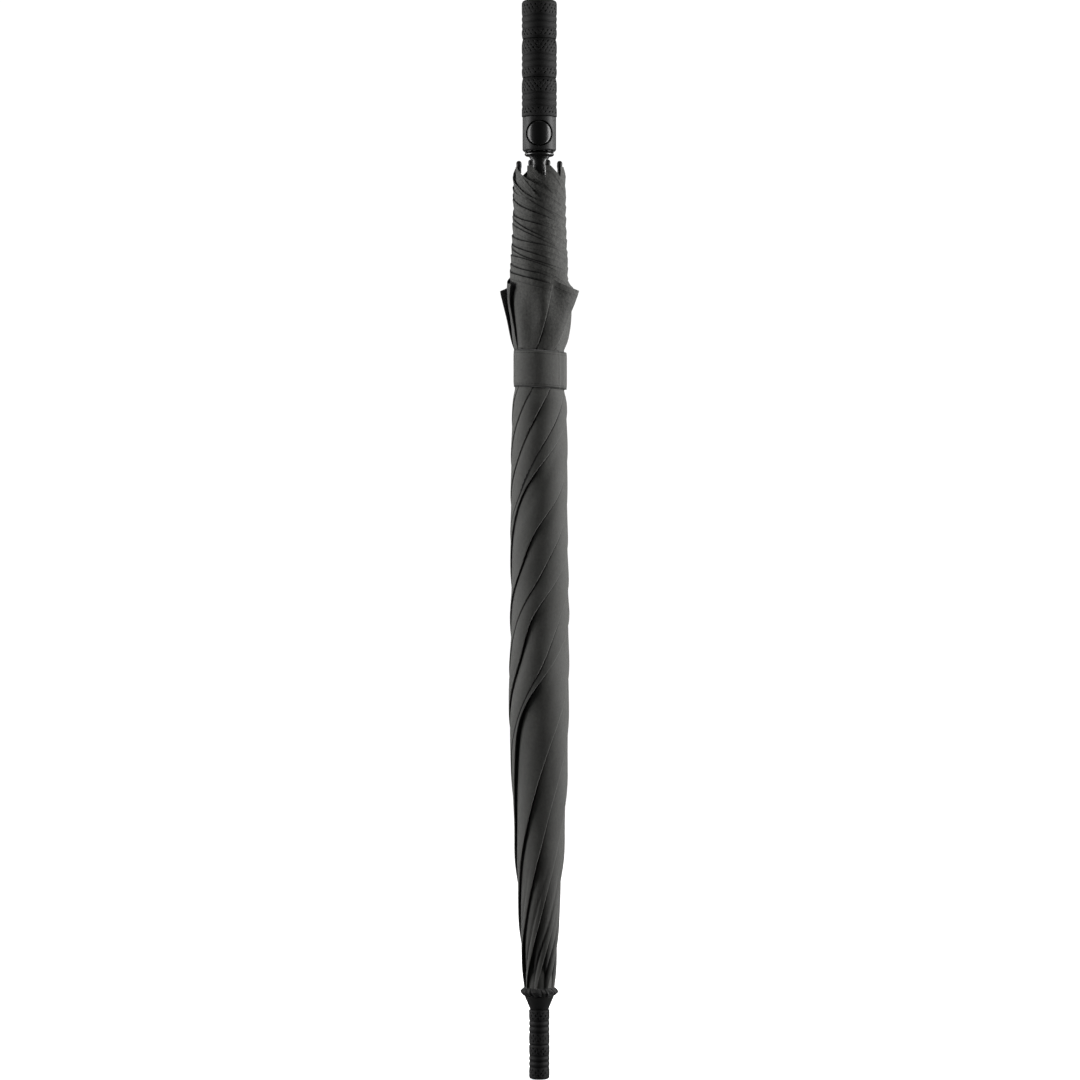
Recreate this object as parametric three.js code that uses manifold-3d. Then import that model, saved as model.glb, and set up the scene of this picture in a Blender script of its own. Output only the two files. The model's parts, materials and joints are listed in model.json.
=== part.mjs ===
// Golf umbrella, closed, rolled and strapped, standing on its tip with the handle up.
// Millimetres. The origin is the centre of the tip's flat end, +Z runs up to the handle, and the
// push button faces -Y.
import * as THREE from 'three';
import { mergeVertices } from 'three/addons/utils/BufferGeometryUtils.js';
import Module from 'manifold-3d';

const wasm = await Module();
wasm.setup();

// ---------- driving dimensions ----------
const TAU = 2 * Math.PI;
const GAP = 0.3; // between pieces that touch on the real object

const RIB_COUNT = 8;
const RIB_STEP = TAU / RIB_COUNT;
const FIRST_RIB_AZIMUTH = -RIB_STEP / 2;
const RIB_LENGTH = 762; // 30 inches, crown pivot to tip
const RIB_RADIUS = 1.7;
const RIB_TIP_CIRCLE = 20.5; // radius at which the tips sit when the umbrella is rolled
const OPEN_ANGLE = (62 * Math.PI) / 180; // rib from the shaft, fully open

const CROWN_PIVOT_RADIUS = 10.2;
const CROWN_PIVOT_Z = 89.5;
const RUNNER_PIVOT_RADIUS = 10.2;
const RUNNER_PIVOT_Z = 812;
const BRACKET_DISTANCE = 330; // crown pivot to stretcher bracket, along the rib
const BRACKET_OFFSET = 4.6; // bracket pin inward of the rib's axis

const SHAFT_RADIUS = 6;
const SHAFT_BORE = 5;
const SHAFT_BOTTOM = 22.5;
const SHAFT_TOP = 965;
const BORE_ON_SHAFT = SHAFT_RADIUS + GAP;

const TIP_RADIUS = 9.5;
const TIP_TOP = 64.2;
const CAP_TOP = 76.4;
const ROSETTE_TOP = 85.6;

const RING_RADIUS = 12; // crown notch and runner ring
const RING_SLOT = 4.2;
const RING_SLOT_FLOOR = 8;
const WIRE_RADIUS = 0.6;
const EYE_RADIUS = 2.0;
const EYE_HOLE = 0.95;
const EYE_WIDTH = 3;

const GRIP_RADIUS = 16;
const GRIP_BOTTOM = 892.6;
const GRIP_TOP = 1001;
const GRIP_SEGMENTS = 3;
const CORE_RADIUS = 11.7;

const HOUSING_RADIUS = 15.4;
const HOUSING_BORE = 14;
const HOUSING_BOTTOM = 861.2;
const HOUSING_TOP = 892.3;

const BUTTON_Z = 877.9;
const BUTTON_RADIUS = 12;
const BUTTON_RING = 0.5; // gap round the button
const BUTTON_SHELL = 13.8;

const FLANGE_RADIUS = 13.7;
const FLANGE_BOTTOM = 856;
const FLANGE_TOP = 859.8;
const SLEEVE_RADIUS = 7.65;

const STRAP_BOTTOM = 641;
const STRAP_TOP = 676;
const STRAP_INNER = 23.2;
const STRAP_THICKNESS = 1;
const TAB_START = (-40 * Math.PI) / 180;
const TAB_END = (4 * Math.PI) / 180;

const HEM_Z = 838;
const CANOPY_START_Z = 86.2;

// ---------- derived linkage ----------
const CLOSED_LEAN = Math.asin((RIB_TIP_CIRCLE - CROWN_PIVOT_RADIUS) / RIB_LENGTH);
const bracketR =
  CROWN_PIVOT_RADIUS + BRACKET_DISTANCE * Math.sin(CLOSED_LEAN) - BRACKET_OFFSET * Math.cos(CLOSED_LEAN);
const bracketZ =
  CROWN_PIVOT_Z + BRACKET_DISTANCE * Math.cos(CLOSED_LEAN) + BRACKET_OFFSET * Math.sin(CLOSED_LEAN);
const STRETCHER_LENGTH = Math.hypot(RUNNER_PIVOT_RADIUS - bracketR, RUNNER_PIVOT_Z - bracketZ);
const STRETCHER_LEAN = Math.atan2(RUNNER_PIVOT_RADIUS - bracketR, RUNNER_PIVOT_Z - bracketZ);
const openBracketR =
  CROWN_PIVOT_RADIUS + BRACKET_DISTANCE * Math.sin(OPEN_ANGLE) - BRACKET_OFFSET * Math.cos(OPEN_ANGLE);
const openBracketZ =
  CROWN_PIVOT_Z + BRACKET_DISTANCE * Math.cos(OPEN_ANGLE) + BRACKET_OFFSET * Math.sin(OPEN_ANGLE);
const openRunnerZ =
  openBracketZ + Math.sqrt(STRETCHER_LENGTH ** 2 - (openBracketR - RUNNER_PIVOT_RADIUS) ** 2);
const RUNNER_TRAVEL = RUNNER_PIVOT_Z - openRunnerZ;

// ---------- materials ----------
const material = (color, roughness, metalness) => new THREE.MeshStandardMaterial({ color, roughness, metalness });
const cloth = () => material(0x4d4c48, 0.85, 0);
const gripRubber = () => material(0x2c2c2c, 0.7, 0);
const moulding = () => material(0x1b1b1c, 0.35, 0);
const glossyMoulding = () => material(0x161617, 0.18, 0);
const fibreglass = () => material(0x202022, 0.3, 0);
const steel = () => material(0x9a9a9c, 0.35, 0.9);

// ---------- geometry helpers ----------

// A closed geometry with shared vertices, no collapsed triangles and its faces pointing out.
function closed(geometry) {
  const bare = geometry.clone();
  bare.deleteAttribute('normal');
  bare.deleteAttribute('uv');
  const merged = mergeVertices(bare, 1e-4);
  const position = merged.getAttribute('position');
  const index = merged.getIndex().array;
  const kept = [];
  let volume = 0;
  const corner = [new THREE.Vector3(), new THREE.Vector3(), new THREE.Vector3()];
  for (let i = 0; i < index.length; i += 3) {
    const triangle = [index[i], index[i + 1], index[i + 2]];
    if (new Set(triangle).size < 3) continue;
    triangle.forEach((vertex, k) => corner[k].fromBufferAttribute(position, vertex));
    volume += corner[0].dot(corner[1].clone().cross(corner[2]));
    kept.push(...triangle);
  }
  if (volume < 0) {
    for (let i = 0; i < kept.length; i += 3) {
      [kept[i + 1], kept[i + 2]] = [kept[i + 2], kept[i + 1]];
    }
  }
  merged.setIndex(kept);
  return merged;
}

function toManifold(geometry) {
  const shape = closed(geometry);
  return new wasm.Manifold(
    new wasm.Mesh({
      numProp: 3,
      vertProperties: new Float32Array(shape.getAttribute('position').array),
      triVerts: new Uint32Array(shape.getIndex().array),
    }),
  );
}

function fromManifold(solid) {
  const mesh = solid.getMesh();
  const geometry = new THREE.BufferGeometry();
  geometry.setAttribute('position', new THREE.BufferAttribute(new Float32Array(mesh.vertProperties), 3));
  geometry.setIndex(Array.from(mesh.triVerts));
  return geometry;
}

function join(first, ...others) {
  return fromManifold(others.reduce((solid, next) => solid.add(toManifold(next)), toManifold(first)));
}

function cut(first, ...others) {
  return fromManifold(others.reduce((solid, next) => solid.subtract(toManifold(next)), toManifold(first)));
}

function overlapOf(first, second) {
  return fromManifold(toManifold(first).intersect(toManifold(second)));
}

// A solid of revolution about Z from an outline of [radius, z] points.
function turned(outline, sides) {
  const points = outline.map(([radius, z]) => new THREE.Vector2(radius, z));
  return new THREE.LatheGeometry(points, sides).rotateX(Math.PI / 2);
}

// As turned, for a ring whose outline closes on itself.
function turnedRing(outline, sides) {
  return turned([...outline, outline[0]], sides);
}

const ALONG_Z = new THREE.Vector3(0, 0, 1);

// A rod between two points.
function rod(from, to, radius, sides = 10) {
  const start = new THREE.Vector3(...from);
  const span = new THREE.Vector3(...to).sub(start);
  const geometry = new THREE.CylinderGeometry(radius, radius, span.length(), sides);
  geometry.rotateX(Math.PI / 2);
  geometry.applyQuaternion(new THREE.Quaternion().setFromUnitVectors(ALONG_Z, span.clone().normalize()));
  const middle = start.addScaledVector(span, 0.5);
  return geometry.translate(middle.x, middle.y, middle.z);
}

// A box from its lowest to its highest corner.
function block(low, high) {
  const size = low.map((value, k) => high[k] - value);
  const centre = low.map((value, k) => (value + high[k]) / 2);
  return new THREE.BoxGeometry(...size).translate(...centre);
}

class Helix extends THREE.Curve {
  constructor(radius, length, turns) {
    super();
    this.radius = radius;
    this.length = length;
    this.turns = turns;
  }

  getPoint(t) {
    const angle = TAU * this.turns * t;
    return new THREE.Vector3(this.radius * Math.cos(angle), this.radius * Math.sin(angle), this.length * t);
  }
}

// A coil spring that starts at the origin and climbs +Z.
function spring(radius, wire, length, turns, stepsPerTurn) {
  const section = new THREE.Shape();
  const sides = 4;
  for (let i = 0; i < sides; i += 1) {
    const angle = (TAU * i) / sides;
    section[i === 0 ? 'moveTo' : 'lineTo'](wire * Math.cos(angle), wire * Math.sin(angle));
  }
  return new THREE.ExtrudeGeometry(section, {
    steps: Math.round(turns * stepsPerTurn),
    bevelEnabled: false,
    extrudePath: new Helix(radius, length, turns),
  });
}

// ---------- scene graph ----------
const umbrella = new THREE.Group();

function add(name, geometry, look, parent = umbrella) {
  const mesh = new THREE.Mesh(closed(geometry), look);
  mesh.name = name;
  parent.add(mesh);
  return mesh;
}

// A group turned to one rib's azimuth: its +X points away from the shaft through that rib.
function ribGroup(index) {
  const group = new THREE.Group();
  group.rotation.z = FIRST_RIB_AZIMUTH + index * RIB_STEP;
  umbrella.add(group);
  return group;
}

// ---------- tip and crown ----------
const TIP_CORNER = 2.4;
const TIP_GROOVE_Z = 30.6;

function tipGrip() {
  const outline = [[0, 0], [TIP_RADIUS - TIP_CORNER, 0]];
  for (const step of [1, 2, 3]) {
    const angle = (step * Math.PI) / 6;
    outline.push([
      TIP_RADIUS - TIP_CORNER + TIP_CORNER * Math.sin(angle),
      TIP_CORNER - TIP_CORNER * Math.cos(angle),
    ]);
  }
  outline.push([TIP_RADIUS, TIP_GROOVE_Z - 1.2]);
  outline.push([TIP_RADIUS - 0.9, TIP_GROOVE_Z]);
  outline.push([TIP_RADIUS, TIP_GROOVE_Z + 1.2]);
  outline.push([TIP_RADIUS, TIP_TOP]);
  outline.push([BORE_ON_SHAFT, TIP_TOP]);
  outline.push([BORE_ON_SHAFT, SHAFT_BOTTOM - GAP]);
  outline.push([0, SHAFT_BOTTOM - GAP]);
  return turned(outline, 20);
}

function crownCap() {
  return turnedRing([
    [BORE_ON_SHAFT, TIP_TOP + GAP],
    [8.9, TIP_TOP + GAP],
    [13.8, CAP_TOP - 1.2],
    [14, CAP_TOP],
    [BORE_ON_SHAFT, CAP_TOP],
  ], 24);
}

// The gathered cloth disc that closes the canopy's point.
function rosette() {
  return turnedRing([
    [BORE_ON_SHAFT, CAP_TOP + GAP],
    [13.6, CAP_TOP + GAP],
    [17.2, 81.2],
    [13.4, ROSETTE_TOP],
    [BORE_ON_SHAFT, ROSETTE_TOP],
  ], 24);
}

// A slotted disc that holds one hinge wire: the slots take the eyes of the ribs or stretchers.
function slottedRing(bottom, top, pivotZ) {
  const grooveHalf = WIRE_RADIUS + 0.4;
  const grooveFloor = CROWN_PIVOT_RADIUS - WIRE_RADIUS - GAP;
  const disc = turnedRing([
    [BORE_ON_SHAFT, bottom],
    [RING_RADIUS, bottom],
    [RING_RADIUS, pivotZ - grooveHalf],
    [grooveFloor, pivotZ - grooveHalf],
    [grooveFloor, pivotZ + grooveHalf],
    [RING_RADIUS, pivotZ + grooveHalf],
    [RING_RADIUS, top],
    [BORE_ON_SHAFT, top],
  ], 24);
  const slots = [];
  for (let i = 0; i < RIB_COUNT; i += 1) {
    const slot = block(
      [RING_SLOT_FLOOR, -RING_SLOT / 2, bottom - 1],
      [RING_RADIUS + 2, RING_SLOT / 2, top + 1],
    );
    slots.push(slot.rotateZ(FIRST_RIB_AZIMUTH + i * RIB_STEP));
  }
  return cut(disc, ...slots);
}

function hingeWire(z) {
  return new THREE.TorusGeometry(CROWN_PIVOT_RADIUS, WIRE_RADIUS, 5, 24).translate(0, 0, z);
}

// ---------- shaft ----------
const DRIVE_PIN_RADIUS = 1.4;
const DRIVE_PIN_Z = 857.9;

function shaftTube() {
  const tube = turnedRing([
    [SHAFT_BORE, SHAFT_BOTTOM],
    [SHAFT_RADIUS, SHAFT_BOTTOM],
    [SHAFT_RADIUS, SHAFT_TOP],
    [SHAFT_BORE, SHAFT_TOP],
  ], 24);
  const halfSlot = DRIVE_PIN_RADIUS + 0.4;
  const slot = block(
    [-SHAFT_RADIUS - 1, -halfSlot, DRIVE_PIN_Z - RUNNER_TRAVEL - halfSlot - 2],
    [SHAFT_RADIUS + 1, halfSlot, DRIVE_PIN_Z + halfSlot + GAP],
  );
  return cut(tube, slot);
}

const SPRING_SEAT_Z = 956;
const SPRING_SEAT_HEIGHT = 8;
const OPENING_SPRING_TURNS = 9;

function openingSpring() {
  const wire = 0.55;
  const bottom = DRIVE_PIN_Z + DRIVE_PIN_RADIUS + GAP + wire;
  const length = SPRING_SEAT_Z - GAP - wire - bottom;
  return spring(3.9, wire, length, OPENING_SPRING_TURNS, 7).translate(0, 0, bottom);
}

// ---------- handle ----------
const GRIP_WALL_INNER = CORE_RADIUS + GAP;
const GRIP_CORNER = 3.5;
const CORE_BOTTOM = GRIP_BOTTOM + 0.4;
const CORE_TOP = 996;

function gripSleeve() {
  const segment = (GRIP_TOP - GRIP_BOTTOM) / GRIP_SEGMENTS;
  const outline = [[0, CORE_TOP + GAP], [GRIP_WALL_INNER, CORE_TOP + GAP], [GRIP_WALL_INNER, GRIP_BOTTOM]];
  outline.push([GRIP_RADIUS, GRIP_BOTTOM]);
  for (let i = 1; i < GRIP_SEGMENTS; i += 1) {
    const grooveZ = GRIP_BOTTOM + i * segment;
    outline.push([GRIP_RADIUS, grooveZ - 1.3]);
    outline.push([GRIP_RADIUS - 1.2, grooveZ]);
    outline.push([GRIP_RADIUS, grooveZ + 1.3]);
  }
  for (const step of [0, 1, 2]) {
    const angle = (step * Math.PI) / 4;
    outline.push([
      GRIP_RADIUS - GRIP_CORNER + GRIP_CORNER * Math.cos(angle),
      GRIP_TOP - GRIP_CORNER + GRIP_CORNER * Math.sin(angle),
    ]);
  }
  outline.push([0, GRIP_TOP]);
  return turned(outline, 24);
}

function handleCore() {
  return turnedRing([
    [BORE_ON_SHAFT, CORE_BOTTOM],
    [CORE_RADIUS, CORE_BOTTOM],
    [CORE_RADIUS, CORE_TOP],
    [BORE_ON_SHAFT, CORE_TOP],
  ], 24);
}

function housing() {
  const shelf = 1.7;
  const shell = turnedRing([
    [HOUSING_BORE, HOUSING_BOTTOM],
    [HOUSING_RADIUS - 0.7, HOUSING_BOTTOM],
    [HOUSING_RADIUS, HOUSING_BOTTOM + 1.1],
    [HOUSING_RADIUS, HOUSING_TOP],
    [BORE_ON_SHAFT, HOUSING_TOP],
    [BORE_ON_SHAFT, HOUSING_TOP - shelf],
    [HOUSING_BORE, HOUSING_TOP - shelf],
  ], 32);
  const hole = rod([0, -3, BUTTON_Z], [0, -HOUSING_RADIUS - 3, BUTTON_Z], BUTTON_RADIUS + BUTTON_RING, 24);
  return cut(shell, hole);
}

// ---------- button and latch ----------
const LATCH_PIVOT_Z = 870;
const LATCH_PIVOT_Y = -9.65;
const LATCH_OUTER_Y = -10.4;
const LATCH_INNER_Y = -9;
const LATCH_HALF_WIDTH = 3;
const LATCH_TOP = 881;
const LATCH_BOTTOM = 862.6;
const BOSS_Y = -11.2;
const LATCH_PIN_RADIUS = 0.45;
const LATCH_PIN_HOLE = 0.75;

function releaseButton() {
  const face = 15.6;
  const crownRadius = 60; // the face is gently domed from top to bottom
  const shell = [];
  for (const z of [-BUTTON_RADIUS - 1, 0, BUTTON_RADIUS + 1]) {
    shell.push([face - (crownRadius - Math.sqrt(crownRadius ** 2 - z ** 2)), BUTTON_Z + z]);
  }
  shell.push([BUTTON_SHELL, BUTTON_Z + BUTTON_RADIUS + 1]);
  shell.push([BUTTON_SHELL, BUTTON_Z - BUTTON_RADIUS - 1]);
  const plug = rod([0, -2, BUTTON_Z], [0, -20, BUTTON_Z], BUTTON_RADIUS, 24);
  const dish = overlapOf(turnedRing(shell, 32), plug);
  const boss = block([-2, -BUTTON_SHELL - 0.4, 879], [2, BOSS_Y, LATCH_TOP - 0.2]);
  return join(dish, boss);
}

function latchLever() {
  const plate = block(
    [-LATCH_HALF_WIDTH, LATCH_OUTER_Y, LATCH_BOTTOM],
    [LATCH_HALF_WIDTH, LATCH_INNER_Y, LATCH_TOP],
  );
  const hook = block(
    [-2.4, LATCH_OUTER_Y + 0.4, LATCH_BOTTOM],
    [2.4, -7.6, LATCH_BOTTOM + 1.6],
  );
  const knuckle = rod(
    [-LATCH_HALF_WIDTH, LATCH_PIVOT_Y, LATCH_PIVOT_Z],
    [LATCH_HALF_WIDTH, LATCH_PIVOT_Y, LATCH_PIVOT_Z],
    1.3,
    12,
  );
  const hole = rod([-5, LATCH_PIVOT_Y, LATCH_PIVOT_Z], [5, LATCH_PIVOT_Y, LATCH_PIVOT_Z], LATCH_PIN_HOLE, 12);
  return cut(join(plate, hook, knuckle), hole);
}

// The castellated ring in the housing's mouth, with two ears that carry the latch pin.
function housingInsert() {
  const bottom = 860.4;
  const top = 865.2;
  const toothHeight = 1.1;
  const teeth = 12;
  const ring = turnedRing([
    [9.1, bottom],
    [HOUSING_BORE - GAP, bottom],
    [HOUSING_BORE - GAP, top],
    [9.1, top],
  ], 24);
  const notches = [];
  for (let i = 0; i < teeth; i += 1) {
    const notch = block([8, -1.3, bottom - 1], [HOUSING_BORE + 1, 1.3, bottom + toothHeight]);
    notches.push(notch.rotateZ((i * TAU) / teeth));
  }
  const leverSlot = block([-3.5, -HOUSING_BORE - 1, bottom - 1], [3.5, -7, top + 1]);
  const ears = [-1, 1].map((side) =>
    block(
      [Math.min(side * 3.5, side * 5.2), -10.5, bottom + 2],
      [Math.max(side * 3.5, side * 5.2), -8.8, LATCH_PIVOT_Z + 1.8],
    ),
  );
  const pinHole = rod(
    [-6, LATCH_PIVOT_Y, LATCH_PIVOT_Z],
    [6, LATCH_PIVOT_Y, LATCH_PIVOT_Z],
    LATCH_PIN_HOLE,
    12,
  );
  return cut(join(cut(ring, ...notches, leverSlot), ...ears), pinHole);
}

function buttonSpring() {
  const wire = 0.3;
  const start = -SHAFT_RADIUS - GAP - wire;
  const end = -BUTTON_SHELL + GAP + wire;
  const coil = spring(1.9, wire, start - end, 3, 7);
  return coil.rotateX(Math.PI / 2).translate(0, start, 886.2);
}

// ---------- runner ----------
const NECK_RADIUS = 7.2;
const LIP_RADIUS = 8.6;
const LIP_BOTTOM = 864.6;
const LIP_TOP = 866.4;
const SLEEVE_BOTTOM = 818.9;
const RUNNER_RING_TOP = 818.6;
const RUNNER_RING_BOTTOM = 806;

function runnerSleeve() {
  const body = turnedRing([
    [BORE_ON_SHAFT, SLEEVE_BOTTOM],
    [SLEEVE_RADIUS, SLEEVE_BOTTOM],
    [SLEEVE_RADIUS, FLANGE_BOTTOM - 3.2],
    [8.1, FLANGE_BOTTOM - 1.8],
    [9.2, FLANGE_BOTTOM],
    [FLANGE_RADIUS, FLANGE_BOTTOM],
    [FLANGE_RADIUS, FLANGE_TOP - 1],
    [FLANGE_RADIUS - 1, FLANGE_TOP],
    [NECK_RADIUS, FLANGE_TOP],
    [NECK_RADIUS, LIP_BOTTOM],
    [LIP_RADIUS, LIP_BOTTOM],
    [LIP_RADIUS - 0.5, LIP_TOP],
    [BORE_ON_SHAFT, LIP_TOP],
  ], 24);
  const pinHole = rod([-20, 0, DRIVE_PIN_Z], [20, 0, DRIVE_PIN_Z], DRIVE_PIN_RADIUS + GAP, 8);
  return cut(body, pinHole);
}

// ---------- ribs, tips and stretchers ----------

// In the rib's own frame: Z runs from the crown pivot to the tip, X points away from the shaft.
const TIP_LENGTH = 9.5;

function eye(z) {
  return rod([0, -EYE_WIDTH / 2, z], [0, EYE_WIDTH / 2, z], EYE_RADIUS, 10);
}

function eyeHole(z, radius) {
  return rod([0, -EYE_WIDTH, z], [0, EYE_WIDTH, z], radius, 6);
}

function ribRod() {
  const end = RIB_LENGTH - TIP_LENGTH + 5;
  const shaft = rod([0, 0, EYE_RADIUS - 0.5], [0, 0, end], RIB_RADIUS, 8);
  const cheekInner = EYE_WIDTH / 2 + 0.4;
  const cheekOuter = cheekInner + 1.1;
  const cheeks = [-1, 1].map((side) =>
    block(
      [-BRACKET_OFFSET - 2.2, Math.min(side * cheekInner, side * cheekOuter), BRACKET_DISTANCE - 3],
      [0.8, Math.max(side * cheekInner, side * cheekOuter), BRACKET_DISTANCE + 3],
    ),
  );
  const saddle = block(
    [-RIB_RADIUS, -cheekOuter, BRACKET_DISTANCE - 3],
    [0.8, cheekOuter, BRACKET_DISTANCE + 3],
  );
  const pin = rod(
    [-BRACKET_OFFSET, -cheekInner - 0.3, BRACKET_DISTANCE],
    [-BRACKET_OFFSET, cheekInner + 0.3, BRACKET_DISTANCE],
    0.75,
    6,
  );
  const solid = join(shaft, eye(0), saddle, ...cheeks, pin);
  return cut(solid, eyeHole(0, EYE_HOLE));
}

function ribTip() {
  const bottom = RIB_LENGTH - TIP_LENGTH;
  const radius = 2.3;
  return turned([
    [0, bottom + 5.3],
    [RIB_RADIUS + GAP, bottom + 5.3],
    [RIB_RADIUS + GAP, bottom],
    [radius, bottom],
    [radius, RIB_LENGTH - 1.2],
    [radius - 1.2, RIB_LENGTH],
    [0, RIB_LENGTH],
  ], 10);
}

// In its own frame: Z runs from the bracket pin to the runner.
function stretcher() {
  const bar = rod([0, 0, 1.5], [0, 0, STRETCHER_LENGTH - 1.5], 1.5, 6);
  const solid = join(bar, eye(0), eye(STRETCHER_LENGTH));
  return cut(solid, eyeHole(0, EYE_HOLE + 0.15), eyeHole(STRETCHER_LENGTH, EYE_HOLE));
}

// ---------- canopy ----------

// Outer radius of the rolled canopy at a height, [z, radius], from the crown to the hem.
const ROLL_PROFILE = [
  [CANOPY_START_Z, 13.6],
  [140, 17.8],
  [185, 19.8],
  [260, 24],
  [350, 26.6],
  [540, 25.4],
  [STRAP_BOTTOM - 5, 22.8],
  [STRAP_TOP + 5, 22.8],
  [705, 27.5],
  [724, 30],
  [736, 26.6],
  [HEM_Z, 23.6],
];

// Just outside the ribs, which lean outward with height.
const innerRadius = (z) =>
  CROWN_PIVOT_RADIUS + (z - CROWN_PIVOT_Z) * Math.tan(CLOSED_LEAN) + RIB_RADIUS + 0.6;

// One eighth of the rolled canopy: a sector that hugs its rib from outside.
function canopySector() {
  const arcSteps = 3;
  const half = RIB_STEP / 2;
  const outline = [
    ...ROLL_PROFILE.map(([z, radius]) => [radius, z]),
    ...[...ROLL_PROFILE].reverse().map(([z]) => [innerRadius(z), z]),
  ];
  const positions = [];
  const triangles = [];
  const rows = outline.length;
  for (let column = 0; column <= arcSteps; column += 1) {
    for (const [radius, z] of outline) {
      const trim = GAP / 2 / radius;
      const angle = -half + trim + ((2 * half - 2 * trim) * column) / arcSteps;
      positions.push(radius * Math.cos(angle), radius * Math.sin(angle), z);
    }
  }
  const at = (column, row) => column * rows + (row % rows);
  for (let column = 0; column < arcSteps; column += 1) {
    for (let row = 0; row < rows; row += 1) {
      triangles.push(at(column, row), at(column + 1, row), at(column + 1, row + 1));
      triangles.push(at(column, row), at(column + 1, row + 1), at(column, row + 1));
    }
  }
  const levels = ROLL_PROFILE.length;
  for (let row = 0; row < levels - 1; row += 1) {
    const inner = rows - 1 - row;
    triangles.push(at(0, row), at(0, row + 1), at(0, inner));
    triangles.push(at(0, row + 1), at(0, inner - 1), at(0, inner));
    triangles.push(at(arcSteps, row + 1), at(arcSteps, row), at(arcSteps, inner));
    triangles.push(at(arcSteps, inner - 1), at(arcSteps, row + 1), at(arcSteps, inner));
  }
  const geometry = new THREE.BufferGeometry();
  geometry.setAttribute('position', new THREE.Float32BufferAttribute(positions, 3));
  geometry.setIndex(triangles);
  return geometry;
}

// ---------- strap ----------

// A curved strip about Z between two azimuths.
function arcStrip(inner, outer, from, to, bottom, top) {
  const shape = new THREE.Shape();
  const steps = Math.max(4, Math.round(((to - from) / TAU) * 28));
  const angles = Array.from({ length: steps + 1 }, (_, i) => from + ((to - from) * i) / steps);
  angles.forEach((angle, i) => {
    shape[i === 0 ? 'moveTo' : 'lineTo'](outer * Math.cos(angle), outer * Math.sin(angle));
  });
  angles.reverse().forEach((angle) => shape.lineTo(inner * Math.cos(angle), inner * Math.sin(angle)));
  return new THREE.ExtrudeGeometry(shape, { depth: top - bottom, bevelEnabled: false }).translate(0, 0, bottom);
}

const STRAP_OPENING = 0.04; // radians left between the strap's own ends

function strapBand() {
  const outer = STRAP_INNER + STRAP_THICKNESS;
  return arcStrip(STRAP_INNER, outer, TAB_START + STRAP_OPENING, TAB_START + TAU, STRAP_BOTTOM, STRAP_TOP);
}

function strapTab() {
  const inner = STRAP_INNER + STRAP_THICKNESS + GAP;
  return arcStrip(inner, inner + 1.4, TAB_START, TAB_END, STRAP_BOTTOM + 0.5, STRAP_TOP - 0.5);
}

// ---------- assembly ----------
add('tip_grip', tipGrip(), gripRubber());
add('crown_cap', crownCap(), glossyMoulding());
add('canopy_rosette', rosette(), cloth());
add('crown_notch', slottedRing(ROSETTE_TOP + GAP, 94, CROWN_PIVOT_Z), moulding());
add('crown_wire', hingeWire(CROWN_PIVOT_Z), steel());
add('shaft_tube', shaftTube(), fibreglass());
add('handle_core', handleCore(), moulding());
add('grip_sleeve', gripSleeve(), gripRubber());
add('button_housing', housing(), moulding());
add('housing_insert', housingInsert(), moulding());
add('spring_seat', turned([
  [0, SPRING_SEAT_Z],
  [SHAFT_BORE - GAP, SPRING_SEAT_Z],
  [SHAFT_BORE - GAP, SPRING_SEAT_Z + SPRING_SEAT_HEIGHT],
  [0, SPRING_SEAT_Z + SPRING_SEAT_HEIGHT],
], 16), steel());
add('opening_spring', openingSpring(), steel());
add('button_spring', buttonSpring(), steel());
add('latch_pin', rod(
  [-5.2, LATCH_PIVOT_Y, LATCH_PIVOT_Z],
  [5.2, LATCH_PIVOT_Y, LATCH_PIVOT_Z],
  LATCH_PIN_RADIUS,
  12,
), steel());
add('release_button', releaseButton(), glossyMoulding());
add('latch_lever', latchLever(), steel());
add('runner_sleeve', runnerSleeve(), glossyMoulding());
add('runner_ring', slottedRing(RUNNER_RING_BOTTOM, RUNNER_RING_TOP, RUNNER_PIVOT_Z), moulding());
add('runner_wire', hingeWire(RUNNER_PIVOT_Z), steel());
add('drive_pin', rod([-9, 0, DRIVE_PIN_Z], [9, 0, DRIVE_PIN_Z], DRIVE_PIN_RADIUS, 8), steel());

for (let i = 0; i < RIB_COUNT; i += 1) {
  const radial = ribGroup(i);

  const rib = new THREE.Group();
  rib.position.set(CROWN_PIVOT_RADIUS, 0, CROWN_PIVOT_Z);
  rib.rotation.y = CLOSED_LEAN;
  radial.add(rib);
  add(`rib_${i + 1}`, ribRod(), fibreglass(), rib);
  add(`rib_tip_${i + 1}`, ribTip(), glossyMoulding(), rib);

  const strut = new THREE.Group();
  strut.position.set(bracketR, 0, bracketZ);
  strut.rotation.y = STRETCHER_LEAN;
  radial.add(strut);
  add(`stretcher_${i + 1}`, stretcher(), fibreglass(), strut);

  add(`canopy_panel_${i + 1}`, canopySector(), cloth(), radial);
}

add('strap_band', strapBand(), cloth());
add('strap_tab', strapTab(), cloth());

export default umbrella;
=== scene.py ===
import json
import math

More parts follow.
